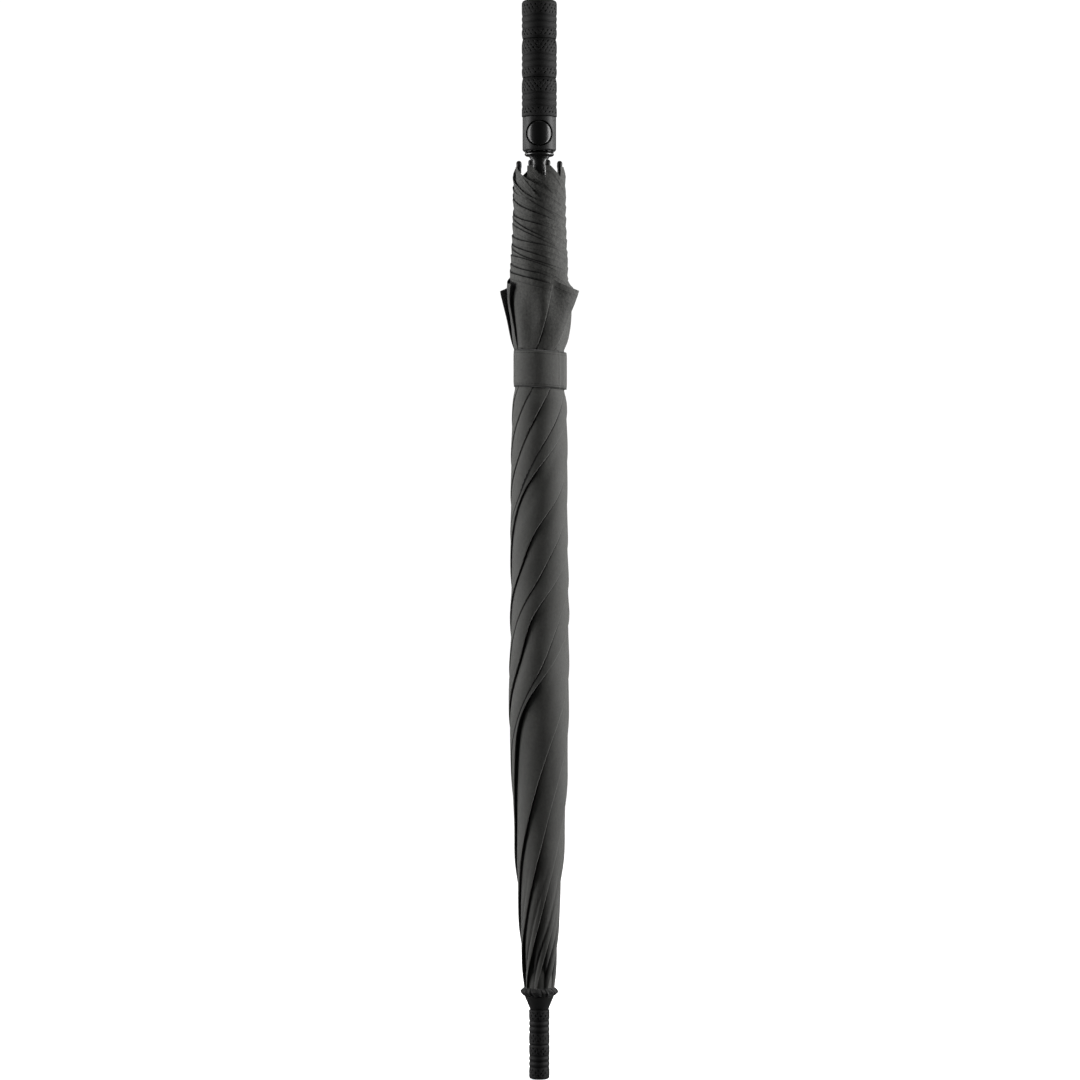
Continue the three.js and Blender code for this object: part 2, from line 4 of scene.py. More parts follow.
import bpy
import numpy as np
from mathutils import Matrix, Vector

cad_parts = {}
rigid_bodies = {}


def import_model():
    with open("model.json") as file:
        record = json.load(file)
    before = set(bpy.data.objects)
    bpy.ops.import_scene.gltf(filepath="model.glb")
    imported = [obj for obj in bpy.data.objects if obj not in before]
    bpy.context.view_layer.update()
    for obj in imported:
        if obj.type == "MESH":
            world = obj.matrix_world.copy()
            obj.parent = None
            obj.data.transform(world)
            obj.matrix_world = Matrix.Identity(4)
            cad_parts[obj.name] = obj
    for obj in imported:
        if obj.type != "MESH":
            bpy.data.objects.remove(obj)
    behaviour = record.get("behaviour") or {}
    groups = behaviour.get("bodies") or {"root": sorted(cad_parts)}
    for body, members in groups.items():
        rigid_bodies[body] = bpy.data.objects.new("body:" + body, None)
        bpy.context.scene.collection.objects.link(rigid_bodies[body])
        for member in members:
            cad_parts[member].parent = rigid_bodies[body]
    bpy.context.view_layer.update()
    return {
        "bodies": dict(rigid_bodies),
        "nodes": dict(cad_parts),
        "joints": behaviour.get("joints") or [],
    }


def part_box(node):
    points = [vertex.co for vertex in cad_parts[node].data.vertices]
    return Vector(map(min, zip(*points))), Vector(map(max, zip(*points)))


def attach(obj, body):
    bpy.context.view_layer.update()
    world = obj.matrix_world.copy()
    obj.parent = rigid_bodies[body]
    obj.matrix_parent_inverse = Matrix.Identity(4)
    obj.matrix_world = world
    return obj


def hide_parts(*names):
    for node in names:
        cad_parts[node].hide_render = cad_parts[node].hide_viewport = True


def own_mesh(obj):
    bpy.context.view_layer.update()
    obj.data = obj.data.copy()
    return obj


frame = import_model()

MM = 0.001
TAU = 2 * math.pi
scene = bpy.context.scene
rng = np.random.default_rng(8)

# ---------- the frame's own dimensions, in millimetres ----------

joints = {j["name"]: j for j in frame["joints"]}


def box_mm(node):
    low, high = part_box(node)
    return np.array(low) / MM, np.array(high) / MM


def heights(node):
    """The heights of a node's bottom and top."""
    low, high = box_mm(node)
    return low[2], high[2]


RIBS = 8
GORE = TAU / RIBS
rib_azimuth = [GORE * (i - 0.5) for i in range(RIBS)]
hinge = joints["rib_hinge_1"]
CROWN_R = math.hypot(hinge["pos_m"][0], hinge["pos_m"][1]) / MM
CROWN_Z = hinge["pos_m"][2] / MM
RIB_SWING = math.radians(hinge["range_deg"][1])
TRAVEL = joints["runner_slide"]["range_m"][1]
RIB_LENGTH = 762.0
TIP_CIRCLE = 20.5
RIB_THICK = 1.7
LEAN = math.asin((TIP_CIRCLE - CROWN_R) / RIB_LENGTH)
OPEN_ANGLE = LEAN + RIB_SWING  # from the axis, when the umbrella is open


def polar(radius, azimuth, z):
    """Points from cylinder coordinates, stacked on the last axis."""
    radius, azimuth, z = np.broadcast_arrays(radius, azimuth, z)
    return np.stack([radius * np.cos(azimuth), radius * np.sin(azimuth), z], -1)


def smooth(edge0, edge1, x):
    t = np.clip((np.asarray(x, float) - edge0) / (edge1 - edge0), 0, 1)
    return t * t * (3 - 2 * t)


def bump(centre, width, x):
    return np.exp(-(((np.asarray(x, float) - centre) / width) ** 2))


def curve_through(knots):
    """A monotone cubic through [x, y] knots."""
    x, y = np.array(knots, float).T
    step = np.diff(y) / np.diff(x)
    slope = np.zeros_like(y)
    for i in range(1, len(x) - 1):
        if step[i - 1] * step[i] > 0:
            slope[i] = 2 * step[i - 1] * step[i] / (step[i - 1] + step[i])
    slope[0], slope[-1] = step[0], step[-1]

    def value(at):
        at = np.asarray(at, float)
        clipped = np.clip(at, x[0], x[-1])
        i = np.clip(np.searchsorted(x, clipped, side="right") - 1, 0, len(x) - 2)
        h = x[i + 1] - x[i]
        t = (clipped - x[i]) / h
        a = (2 * t**3 - 3 * t**2 + 1) * y[i] + (t**3 - 2 * t**2 + t) * h * slope[i]
        b = (-2 * t**3 + 3 * t**2) * y[i + 1] + (t**3 - t**2) * h * slope[i + 1]
        return a + b

    return value


def waves(count, seed, lengths):
    """A sum of soft sine waves over two coordinates, between about -1 and 1."""
    local = np.random.default_rng(seed)
    direction = local.uniform(-1, 1, (count, 2))
    length = local.uniform(lengths[0], lengths[1], count)
    phase = local.uniform(0, TAU, count)

    def value(a, b):
        total = 0.0
        for d, l, p in zip(direction, length, phase):
            total = total + np.sin(TAU * (d[0] * a + d[1] * b) / l + p)
        return total / math.sqrt(count)

    return value


# ---------- meshes ----------


def new_object(name, points_mm, faces):
    mesh = bpy.data.meshes.new(name)
    mesh.from_pydata((np.reshape(points_mm, (-1, 3)) * MM).tolist(), [], faces)
    mesh.update()
    mesh.polygons.foreach_set("use_smooth", [True] * len(mesh.polygons))
    obj = bpy.data.objects.new(name, mesh)
    scene.collection.objects.link(obj)
    return obj


def grid_faces(rows, columns, around=False):
    """Quads over a grid of points, closed into a ring when its columns go around."""
    row = np.arange(rows - 1)[:, None] * columns
    here = np.arange(columns if around else columns - 1)[None, :]
    there = (here + 1) % columns
    corners = (row + here, row + there, row + columns + there, row + columns + here)
    return np.stack(corners, -1).reshape(-1, 4).tolist()


def join_parts(parts):
    """Joins (vertices, faces) pairs into one vertex array and one face list."""
    vertices, faces, first = [], [], 0
    for v, f in parts:
        vertices.append(np.asarray(v, float).reshape(-1, 3))
        faces += [[i + first for i in face] for face in f]
        first += len(vertices[-1])
    return np.concatenate(vertices), faces


def set_attribute(obj, name, values, kind="FLOAT"):
    attribute = obj.data.attributes.new(name, kind, "POINT")
    field = "vector" if kind == "FLOAT_VECTOR" else "value"
    attribute.data.foreach_set(field, np.asarray(values, np.float32).ravel())


def set_distances(obj, **values_mm):
    """Attributes given in millimetres and stored in metres."""
    for name, values in values_mm.items():
        set_attribute(obj, name, values * MM)


def rounded(points, radius=0.4, steps=3):
    """A profile of [r, z] points with its corners rounded; a point may carry its own radius."""
    corners = [np.array(p[:2], float) for p in points]
    out = corners[:1]
    for i, p in enumerate(corners[1:-1], 1):
        before, after = corners[i - 1] - p, corners[i + 1] - p
        own = points[i][2] if len(points[i]) > 2 else radius
        la, lb = np.linalg.norm(before), np.linalg.norm(after)
        cut = min(own, 0.45 * la, 0.45 * lb)
        if cut < 1e-4:
            out.append(p)
            continue
        start, end = p + before / la * cut, p + after / lb * cut
        for t in np.arange(steps + 1) / steps:
            out.append((1 - t) ** 2 * start + 2 * t * (1 - t) * p + t * t * end)
    return np.array(out + corners[-1:])


def refined(profile, longest=2.0):
    """The profile with points added so that no step is longer than this."""
    out = [profile[0]]
    for a, b in zip(profile[:-1], profile[1:]):
        n = max(1, int(math.ceil(np.linalg.norm(b - a) / longest)))
        out += [a + (b - a) * (k + 1) / n for k in range(n)]
    return np.array(out)


def revolved_parts(profile, segments=96):
    azimuth = np.arange(segments) * TAU / segments
    points = polar(profile[:, :1], azimuth[None, :], profile[:, 1:2])
    return points.reshape(-1, 3), grid_faces(len(profile), segments, True)


def revolved(name, profile, segments=96):
    return new_object(name, *revolved_parts(profile, segments))


def lay_along(points, base, direction):
    """Turns points made round +Z so that they stand at base and point along direction."""
    turn = Vector((0, 0, 1)).rotation_difference(Vector(direction)).to_matrix()
    return np.asarray(points) @ np.array(turn).T + np.asarray(base)


# ---------- materials ----------


def plug(tree, value, socket):
    """Gives a socket a constant, or links another node's output socket to it."""
    if isinstance(value, bpy.types.NodeSocket):
        tree.links.new(value, socket)
    else:
        socket.default_value = value


def add_node(tree, kind, settings=(), **inputs):
    """A new node with (property, value) settings and its inputs by name, _ for a space."""
    made = tree.nodes.new(kind)
    for key, value in settings:
        setattr(made, key, value)
    for key, value in inputs.items():
        plug(tree, value, made.inputs[key.replace("_", " ")])
    return made


def add_math(tree, operation, a, b=0.0, clamp=False):
    made = add_node(tree, "ShaderNodeMath", [("operation", operation), ("use_clamp", clamp)])
    for socket, value in zip(made.inputs, (a, b)):
        plug(tree, value, socket)
    return made.outputs[0]


class Paint:
    """A node material being built round one Principled shader."""

    def __init__(self, name):
        self.material = bpy.data.materials.new(name)
        self.material.use_nodes = True
        self.tree = self.material.node_tree

    def node(self, kind, settings=(), **inputs):
        return add_node(self.tree, kind, settings, **inputs)

    def math(self, operation, a, b=0.0):
        return add_math(self.tree, operation, a, b)

    def times(self, a, b):
        return self.math("MULTIPLY", a, b)

    def total(self, *terms):
        """The sum of (value, weight) pairs."""
        result = self.times(*terms[0])
        for value, weight in terms[1:]:
            result = self.math("ADD", result, self.times(value, weight))
        return result

    def attribute(self, name):
        return self.node("ShaderNodeAttribute", [("attribute_name", name)]).outputs["Fac"]

    def stretched(self, x, y, z):
        """The piece's own coordinates, scaled along each axis."""
        place = self.node("ShaderNodeTexCoord").outputs["Object"]
        return self.node("ShaderNodeMapping", Vector=place, Scale=(x, y, z)).outputs[0]

    def noise(self, scale, detail=3.0, vector=None, roughness=0.5):
        if vector is None:
            vector = self.node("ShaderNodeTexCoord").outputs["Object"]
        return self.node(
            "ShaderNodeTexNoise", Vector=vector, Scale=scale, Detail=detail, Roughness=roughness,
        ).outputs["Fac"]

    def span(self, value, low, high, start=0.0, stop=1.0):
        """Low to high as the value goes from start to stop, and no further."""
        return self.node(
            "ShaderNodeMapRange", Value=value, From_Min=start, From_Max=stop, To_Min=low,
            To_Max=high).outputs["Result"]

    def colours(self, value, dark, light):
        ramp = self.node("ShaderNodeValToRGB", Fac=value)
        ramp.color_ramp.elements[0].color = (*dark, 1)
        ramp.color_ramp.elements[1].color = (*light, 1)
        return ramp.outputs["Color"]

    def relief(self, height, metres, strength):
        bumped = self.node("ShaderNodeBump", Strength=strength, Distance=metres, Height=height)
        self.set(Normal=bumped.outputs["Normal"])

    def set(self, **values):
        """Constants or sockets for the shader's inputs, by name with _ for a space."""
        for key, value in values.items():
            shader = self.tree.nodes["Principled BSDF"]
            plug(self.tree, value, shader.inputs[key.replace("_", " ")])


def grey(level):
    return (level, level, level)


def pulse(paint, distance, centre, half):
    """1 on a line at this distance, falling to 0 at half a width from it."""
    away = paint.math("ABSOLUTE", paint.math("SUBTRACT", distance, centre))
    return paint.span(away, 1.0, 0.0, 0.0, half)


def thread(paint, coordinate, pitch):
    """Rows of rounded threads along one coordinate, 0 between them and 1 on top."""
    phase = paint.times(coordinate, math.pi / pitch)
    return paint.math("ABSOLUTE", paint.math("SINE", phase))


WEAVE_PITCH = 0.0006
STITCH_LENGTH = 0.0028
STITCH_HALF = 0.0006
FOLD_HIGHLIGHT_HALF = 0.0011  # half width of the painted highlight along a fold
SHADE_DARKEST, SHADE_GONE = 0.0004, 0.0019  # painted shade under an edge is darkest and gone this far past it
CRUMPLE_REACH = 0.12  # the cloth is more crumpled up to this far from its hem


def cloth_paint(name, dark, light, stitch_line, line_from):
    """Plain-woven nylon with a fine sheen, soft mottling, crumples and one line of stitches, with
    painted highlights along its folds and painted shade under the edges that lie over it.
    """
    paint = Paint(name)
    cut_x, cut_y = paint.attribute("cut_x"), paint.attribute("cut_y")
    warp, weft = thread(paint, cut_x, WEAVE_PITCH), thread(paint, cut_y, WEAVE_PITCH)
    weave = paint.times(warp, weft)
    mottle = paint.noise(38.0, 4.0)
    broad = paint.noise(9.0, 3.0)
    slub = paint.noise(1.0, 2.0, paint.stretched(900, 900, 60))
    near_hem = paint.span(paint.attribute("to_hem"), 1.0, 0.3, 0.0, CRUMPLE_REACH)
    crinkle = paint.math("SUBTRACT", paint.noise(420.0, 4.0, roughness=0.62), 0.5)
    crinkle = paint.times(crinkle, near_hem)
    stitched = pulse(paint, paint.attribute(line_from), stitch_line, STITCH_HALF)
    beat = thread(paint, cut_x, STITCH_LENGTH)
    stitched = paint.times(stitched, paint.span(beat, 0.25, 1.0, 0.2, 0.7))
    # painted highlight: the cloth is lighter along each fold edge, more so near the hem
    fold_highlight = pulse(paint, paint.attribute("to_fold"), 0.0, FOLD_HIGHLIGHT_HALF)
    fold_highlight = paint.times(fold_highlight, paint.span(near_hem, 0.35, 1.1))
    tone = paint.total((mottle, 0.35), (broad, 0.4), (crinkle, 1.7), (weave, 0.2),
                       (slub, 0.12), (stitched, -0.6), (fold_highlight, 1.0))
    # painted shade: the colour is scaled down in a dark line under the edge that lies over this
    # layer
    edge_shade = paint.span(paint.attribute("from_edge"), 1.0, 0.0, SHADE_DARKEST, SHADE_GONE)
    clear = paint.span(edge_shade, 1.0, 0.06)
    cloth_colour = paint.colours(paint.span(tone, 0.0, 1.0, 0.1, 0.9), dark, light)
    edge_shaded_colour = paint.node(
        "ShaderNodeVectorMath", [("operation", "SCALE")], Vector=cloth_colour, Scale=clear)
    height = paint.total((weave, 0.25), (mottle, 0.8), (crinkle, 1.8), (stitched, -0.7))
    paint.relief(height, 0.0004, 0.6)
    paint.set(
        Base_Color=edge_shaded_colour.outputs["Vector"],
        Roughness=paint.math("MAXIMUM", paint.span(mottle, 0.6, 0.8), edge_shade),
        Sheen_Weight=0.1, Sheen_Roughness=0.4, Specular_IOR_Level=0.2)
    return paint.material


def rubber_paint():
    """Soft moulded rubber: matt and finely grained, with painted shade making its pits and grooves
    darker.
    """
    paint = Paint("grip_rubber_paint")
    fine = paint.noise(2600.0, 2.0)
    soft = paint.noise(60.0, 3.0)
    # the colour is scaled down by painted shade in the pits and grooves
    tone = paint.times(paint.total((soft, 0.7), (fine, 0.3)), paint.attribute("shade_clear"))
    paint.relief(fine, 0.00012, 0.5)
    paint.set(Base_Color=paint.colours(tone, grey(0.0008), grey(0.019)),
              Roughness=paint.span(soft, 0.56, 0.74), Specular_IOR_Level=0.13)
    return paint.material


def plastic_paint(name, dark, light, rough_low, rough_high, grain, relief, shine):
    """Injection-moulded plastic with fine tool grain and faint rub marks along its length."""
    paint = Paint(name)
    tool = paint.noise(grain, 2.0)
    rubs = paint.noise(1.0, 3.0, paint.stretched(900, 900, 25))
    cloud = paint.noise(45.0, 2.0)
    tone = paint.total((cloud, 0.6), (rubs, 0.4))
    worn = paint.total((rubs, 0.6), (cloud, 0.4))
    paint.relief(tool, relief, 0.4)
    paint.set(Base_Color=paint.colours(tone, grey(dark), grey(light)),
              Roughness=paint.span(worn, rough_low, rough_high), Specular_IOR_Level=shine)
    return paint.material


def metal_paint():
    """Plated steel wire and sheet, with drawn lines and small spots."""
    paint = Paint("steel_paint")
    drawn = paint.noise(1.0, 3.0, paint.stretched(2500, 2500, 80))
    spots = paint.noise(700.0, 2.0)
    paint.relief(drawn, 0.00002, 0.3)
    paint.set(Base_Color=paint.colours(spots, (0.28, 0.28, 0.29), (0.5, 0.5, 0.51)),
              Roughness=paint.span(drawn, 0.22, 0.42), Metallic=1.0)
    return paint.material


def fibre_paint():
    """Pultruded glass fibre, lacquered black, with lengthwise strands."""
    paint = Paint("fibreglass_paint")
    strand = paint.noise(1.0, 4.0, paint.stretched(1800, 1800, 14))
    paint.relief(strand, 0.00003, 0.4)
    paint.set(Base_Color=paint.colours(strand, grey(0.006), (0.022, 0.022, 0.021)),
              Roughness=paint.span(strand, 0.4, 0.6), Specular_IOR_Level=0.35)
    return paint.material


paints = {
    "canopy_cloth": cloth_paint("canopy_paint", (0.026, 0.026, 0.0245), (0.066, 0.066, 0.062),
                                0.0052, "to_hem"),
    "strap_webbing": cloth_paint("strap_paint", (0.028, 0.028, 0.0265), (0.07, 0.07, 0.066),
                                 0.0031, "to_side"),
    # the canopy's cloth painted darker for the rosette, as painted shade
    "rosette": cloth_paint("rosette_shaded_paint", (0.003, 0.003, 0.0028), (0.017, 0.017, 0.016),
                           0.0022, "to_hem"),
    "grip_rubber": rubber_paint(),
    # name, dark, light, least and most rough, grain scale, relief in metres, shine
    "moulding": plastic_paint(
        "moulding_paint", 0.006, 0.018, 0.36, 0.52, 1500.0, 0.00006, 0.17),
    "gloss_moulding": plastic_paint(
        "gloss_paint", 0.003, 0.008, 0.22, 0.34, 500.0, 0.00002, 0.27),
    "polished": plastic_paint(
        "polished_paint", 0.003, 0.008, 0.24, 0.34, 500.0, 0.00002, 0.6),
    "steel": metal_paint(),
    "fibreglass": fibre_paint(),
}


def finish_with(obj, paint_name):
    obj.data.materials.clear()
    obj.data.materials.append(paints[paint_name])


def place_piece(obj, body, node, slot_name, paint_name=None):
    """A finished piece: what it rides on, what it stands for, its slot, and its paint where
    that isn't the slot's own."""
    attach(obj, body)
    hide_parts(node)
    finish_with(obj, paint_name or slot_name)


# ---------- canopy: eight folded gores rolled round the ribs ----------
#
# A gore hangs from two ribs. Its middle is pulled out as a pleat, folded in half and rolled round
# the umbrella, so each half runs from its rib to the fold edge. u is 0 at the rib and 1 at the
# fold; z is the height in the rolled umbrella.

HALF_GORE = math.asin(math.sin(OPEN_ANGLE) * math.sin(GORE / 2))
CLOTH_START = 84.6
HEM_TOP = 846.0  # height of the hem at a rib
HEM_DROP = 109.5  # how much lower it is at the fold
HEM_POWER = 0.7
POCKET = 0.016  # share of the half gore that the rib tip's pocket takes at the hem
SEAM_TUCK = math.radians(7)
HEM_WIDTH = 6.0
CLOTH_ON_RIB = 0.5
STRAP_LEAN = 0.065  # how much lower the strap sits per millimetre towards +x
STRAP_LOW, STRAP_HIGH = heights("strap_band")

# Degrees that a fold edge is turned from its rib, by height.
turn_degrees = curve_through([
    [86, 13], [146, 67.5], [210, 112.5], [280, 157.5], [338, 202.5], [383, 247.5], [428, 292.5],
    [466, 337.5], [504, 382.5], [541, 427.5], [579, 472.5], [616, 517.5], [654, 562.5],
    [684, 607.5], [736, 634], [860, 668],
])

# Outer radius of the roll, by height.
roll_radius = curve_through([
    [86, 14.6], [93, 15.4], [104, 16.4], [116, 17.3], [138, 18.8], [155, 19.5], [182, 20.8],
    [205, 22.5], [233, 23.2], [266, 24.9], [300, 25.9], [339, 27.0], [372, 27.3], [422, 27.1],
    [472, 26.3], [523, 25.8], [584, 25.2], [618, 24.5], [634, 23.8], [642, 22.7], [675, 22.7],
    [682, 24.1], [701, 25.7], [736, 26.8], [757, 26.0], [773, 25.1], [790, 24.4], [812, 23.9],
    [835, 23.8], [846, 23.3],
])

# Degrees added to one fold edge near one height, as (panel, height, half width, degrees). The
# large negative ones are pleats tucked so far back that the next pleat hides their edge.
FOLD_SHIFTS = [
    (2, 338, 62, -38), (5, 541, 58, -38), (0, 728, 40, -42), (1, 383, 30, 4), (0, 430, 30, -14),
    (6, 506, 28, -13), (4, 580, 25, -4), (3, 618, 25, -5), (2, 733, 30, 8), (7, 731, 32, -10),
]

# How far each panel's loose corner stands away from the roll.
CORNER_LIFTS = [3.0, 0.8, 10.3, 6.5, 8.0, 5.0, 7.0, 8.3]
# How much lower than the common hem line each panel's loose corner hangs.
CORNER_DROPS = [0.0, 1.0, 5.5, 3.0, 1.0, 3.0, 5.0, 6.0]

surface_waves = waves(5, 21, (60, 150))
long_waves = waves(4, 5, (120, 260))


def rib_line(z):
    return CROWN_R + (z - CROWN_Z) * math.tan(LEAN)


def hem_height(u):
    return HEM_TOP - HEM_DROP * np.clip((u - POCKET) / (1 - POCKET), 0, 1) ** HEM_POWER


def widest(z):
    """The largest u that still reaches this height."""
    return POCKET + (1 - POCKET) * np.clip((HEM_TOP - z) / HEM_DROP, 1e-4, 1) ** (1 / HEM_POWER)


def hem_wander(panel, u):
    """How far a panel's hem strays from the common hem line, in millimetres."""
    amount = 2.4 * np.sin(2.4 * panel + 9 * u) + 0.8 * np.sin(5.1 * panel + 23 * u)
    between = smooth(0.02, 0.14, u) * (1 - smooth(0.84, 0.97, u))
    return amount * between - CORNER_DROPS[panel] * smooth(0.86, 0.98, u)


def fold_turn(panel, z):
    degrees = turn_degrees(z)
    for who, height, width, shift in FOLD_SHIFTS:
        if who == panel:
            degrees = degrees + shift * bump(height, width, z)
    return np.radians(degrees)


def strap_grip(z):
    """1 where the strap squeezes the roll, 0 away from it."""
    rises = smooth(STRAP_LOW - 14, STRAP_LOW - 1, z)
    return rises * (1 - smooth(STRAP_HIGH + 1, STRAP_HIGH + 12, z))


SHADE_LINE_REACH = 20.0  # a painted shade line reaches no further than this from its edge
CROWN_CALM = (100, 180)  # the roll is tight below the first height and free above the second
HEM_ROLL = 0.75  # how far a hem's edge curls out
HEM_THICK = 0.22
PLEAT_DEPTH = 1.1
LINING_DIP = 3.4  # how far the inner half hangs in between its ribs
GORE_SAG = 15.0  # of an open gore between its ribs
HALF_PLEAT = 5.6  # each pleat is creased again this far from its fold near the crown
PACKING = 0.6  # below 1, the outer turns of the roll lie closer together than the inner ones
LOST_LIGHT = math.radians(-20)  # hems that face this way catch the light and lose their line
# Columns of a half gore: evenly spaced ones, then closer ones at these distances from the fold.
INNER_COLUMNS = 66
EDGE_MM = [
    22, 19, 16, 13, 10.5, 8.5, 7.2, 6.2, 5.4, 4.5, 3.3, 2.3, 1.6, 1.1, 0.75, 0.5, 0.3, 0.13, 0]
LAST_TURN = math.radians(50)  # the closer columns cover this turn at most
# Rows: evenly spaced ones, then closer ones at these distances from the hem.
PLAIN_ROWS = 158
HEM_ROWS = [14, 11, 8.5, 7, 6.3, 5.8, 4.5, 3, 1.6, 0.6, 0.15, 0]
FLAP_HEIGHT = 738.0  # where the loose corners stand out furthest
DRAPE = (1.0, 716.0, 34.0)  # soft folds in the loose flaps: depth, height, half width


def roll_grid(panel):
    """Heights, turns and u of one half gore, as arrays of rows by columns, rib first."""
    share = np.append(np.arange(INNER_COLUMNS) / INNER_COLUMNS, np.ones(len(EDGE_MM)))[None, :]
    along = np.concatenate([np.zeros(INNER_COLUMNS), 1 - np.array(EDGE_MM) / EDGE_MM[0]])[None, :]
    rise = np.concatenate([np.linspace(0, 1, PLAIN_ROWS), np.ones(len(HEM_ROWS) - 1)])[:, None]
    below = np.concatenate([np.full(PLAIN_ROWS, HEM_ROWS[0]), HEM_ROWS[1:]])[:, None]
    z = CLOTH_START + rise * (hem_height(1.0) - CLOTH_START) + 0 * share
    for _ in range(6):  # u follows from the height and the height from u
        full = fold_turn(panel, z)
        last = np.minimum(LAST_TURN, 0.6 * full)
        turn = share * (full - last) + along * last
        u = turn / full
        hem = hem_height(u) + hem_wander(panel, u)
        z = CLOTH_START + rise * (hem - below - CLOTH_START)
    return z, turn, full, u, below + (1 - rise) * (hem - below - CLOTH_START)


def both_halves(outer, inner):
    """A gore from rib to rib: its outer half, then its inner half back from the fold."""
    return np.concatenate([outer, inner[:, -2::-1]], 1)


def rolled_panel(panel):
    """A gore's closed places, its flat cut as rho and beta, and its painted lines' distances,
    with columns from rib to rib."""
    z, turn, full, u, to_hem = roll_grid(panel)
    # the tip's pocket wraps round the rib on both sides
    tucked = SEAM_TUCK * (1 - smooth(0, 0.04, u)) * smooth(560, 760, z)
    azimuth = rib_azimuth[panel] + turn - tucked
    grip = strap_grip(z)
    loose = 1 - 0.9 * grip
    inside = rib_line(z) + RIB_THICK + CLOTH_ON_RIB
    outside = roll_radius(z)
    radius = inside + (outside - inside) * np.clip(u / widest(z), 0, 1) ** PACKING
    # the field is shared by all panels, so that layers move together
    field = 0.45 * surface_waves(z, 0.0) + 0.35 * np.sin(3 * azimuth + z / 31.0)
    radius = radius + loose * field * u * smooth(95, 160, z)
    part = np.clip((turn - (full - LAST_TURN)) / LAST_TURN, 0, 1)
    swell = 0.9 + 0.5 * long_waves(z, 40.0 * panel)
    radius = radius + loose * swell * np.sin(math.pi * part) * smooth(*CROWN_CALM, z)
    radius = radius + 0.5 * loose * smooth(0.5, 1, part) * smooth(120, 200, z)
    flare = np.clip((z - STRAP_HIGH + 3) / (FLAP_HEIGHT - STRAP_HIGH), 0, 1) ** 1.1
    radius = radius + CORNER_LIFTS[panel] * flare * part**1.5
    drape = np.sin(5 * azimuth + z / 17.0 + 2 * np.sin(z / 41.0))
    drape = drape + 0.6 * np.sin(8 * azimuth - z / 23.0)
    radius = radius + DRAPE[0] * drape * bump(DRAPE[1], DRAPE[2], z) * u
    ripple = 0.22 * np.sin(azimuth * 11 + 1.7 * panel) * np.exp(-to_hem / 9)
    curl = (HEM_ROLL * np.exp(-to_hem / 6) + ripple) * smooth(0, 0.05, u)
    radius = radius + curl * (z > STRAP_HIGH)
    radius = radius + HEM_THICK * (1 - smooth(HEM_WIDTH - 0.2, HEM_WIDTH + 0.5, to_hem))

    edge = (full - turn) * outside
    pleat = bump(HALF_PLEAT, 1.2, edge) * (1 - smooth(110, 220, z)) * smooth(84, 96, z)
    radius = radius - PLEAT_DEPTH * pleat
    radius = radius + 0.4 * loose * np.exp(-edge / 5) * smooth(120, 200, z)
    round_mm = 0.62 - 0.34 * grip
    gap = np.minimum(0.16, 0.2 * (outside - inside) * GORE / full)
    thick = gap + (round_mm - gap) * (1 - smooth(2.5, 13, edge))
    near = np.clip(1 - edge / thick, 0, 1)
    half = thick * np.sqrt(1 - near**2)
    joined = 1 - smooth(0, 0.25, u)
    dip = LINING_DIP * smooth(96, 112, z) * (1 - smooth(170, 300, z))
    outer = polar(radius - thick + half, azimuth, z)
    inner_radius = radius - thick - half - dip * 4 * joined * (1 - joined)
    inner_azimuth = azimuth + GORE * joined
    inner = polar(np.maximum(inner_radius, inside - dip), inner_azimuth, z)

    spread = np.arctan(u * math.tan(HALF_GORE))
    plain = (hem_height(u) - CLOTH_START) / (hem_height(u) + hem_wander(panel, u) - CLOTH_START)
    rho = (z - CLOTH_START) * plain / (HEM_TOP - CLOTH_START) * (HEM_TOP - CROWN_Z) / np.cos(spread)

    # how far each point shows past the edge of the panel that lies over it, or lies from a crease;
    # the cloth is painted darker close to such an edge, as painted shade
    over = fold_turn((panel - 1) % RIBS, z)
    under = np.clip((turn + GORE) / over, 0, 1)
    facing = np.cos(azimuth - LOST_LIGHT)
    lost = 1.1 * np.clip(facing, 0, 1) ** 2 - 0.7 * np.clip(-facing, 0, 1)
    past_hem = z - hem_height(under) - hem_wander((panel - 1) % RIBS, under) + lost
    past_fold = (turn + GORE - over) * outside
    past = np.clip(np.maximum(past_hem, past_fold), -SHADE_LINE_REACH, SHADE_LINE_REACH)
    # painted shade along each pleat's second crease near the crown
    past = np.minimum(past, np.abs(edge - HALF_PLEAT) + 9 * smooth(110, 250, z))
    # painted shade on the cloth along the strap's top edge
    beside_strap = z + STRAP_LEAN * radius * np.cos(azimuth)
    past = np.minimum(past, np.abs(beside_strap - STRAP_HIGH) + 0.3)
    # painted shade deep between the pleats near the crown
    sunk = np.clip((outside - radius - 0.8) / 2.0, 0, 1)
    past = np.minimum(past, 0.9 + 2.0 * (1 - sunk) + 9 * smooth(150, 260, z))
    past = np.concatenate([past, np.full_like(past[:, 1:], SHADE_LINE_REACH)], 1)
    lines = {
        "to_hem": both_halves(to_hem, to_hem), "to_fold": both_halves(edge, edge),
        "from_edge": past,
    }
    beta = both_halves(spread - HALF_GORE, HALF_GORE - spread)
    return both_halves(outer, inner), both_halves(rho, rho), beta, lines


def into_rib(panel, points):
    """Points given in the open umbrella, in the rolled umbrella's place for the same rib."""
    azimuth = rib_azimuth[panel]
    axis = np.array([-math.sin(azimuth), math.cos(azimuth), 0.0])
    pivot = polar(CROWN_R, azimuth, CROWN_Z)
    p = points - pivot
    c, s = math.cos(-RIB_SWING), math.sin(-RIB_SWING)
    along = (p @ axis)[..., None] * axis
    return pivot + p * c + np.cross(axis, p) * s + along * (1 - c)


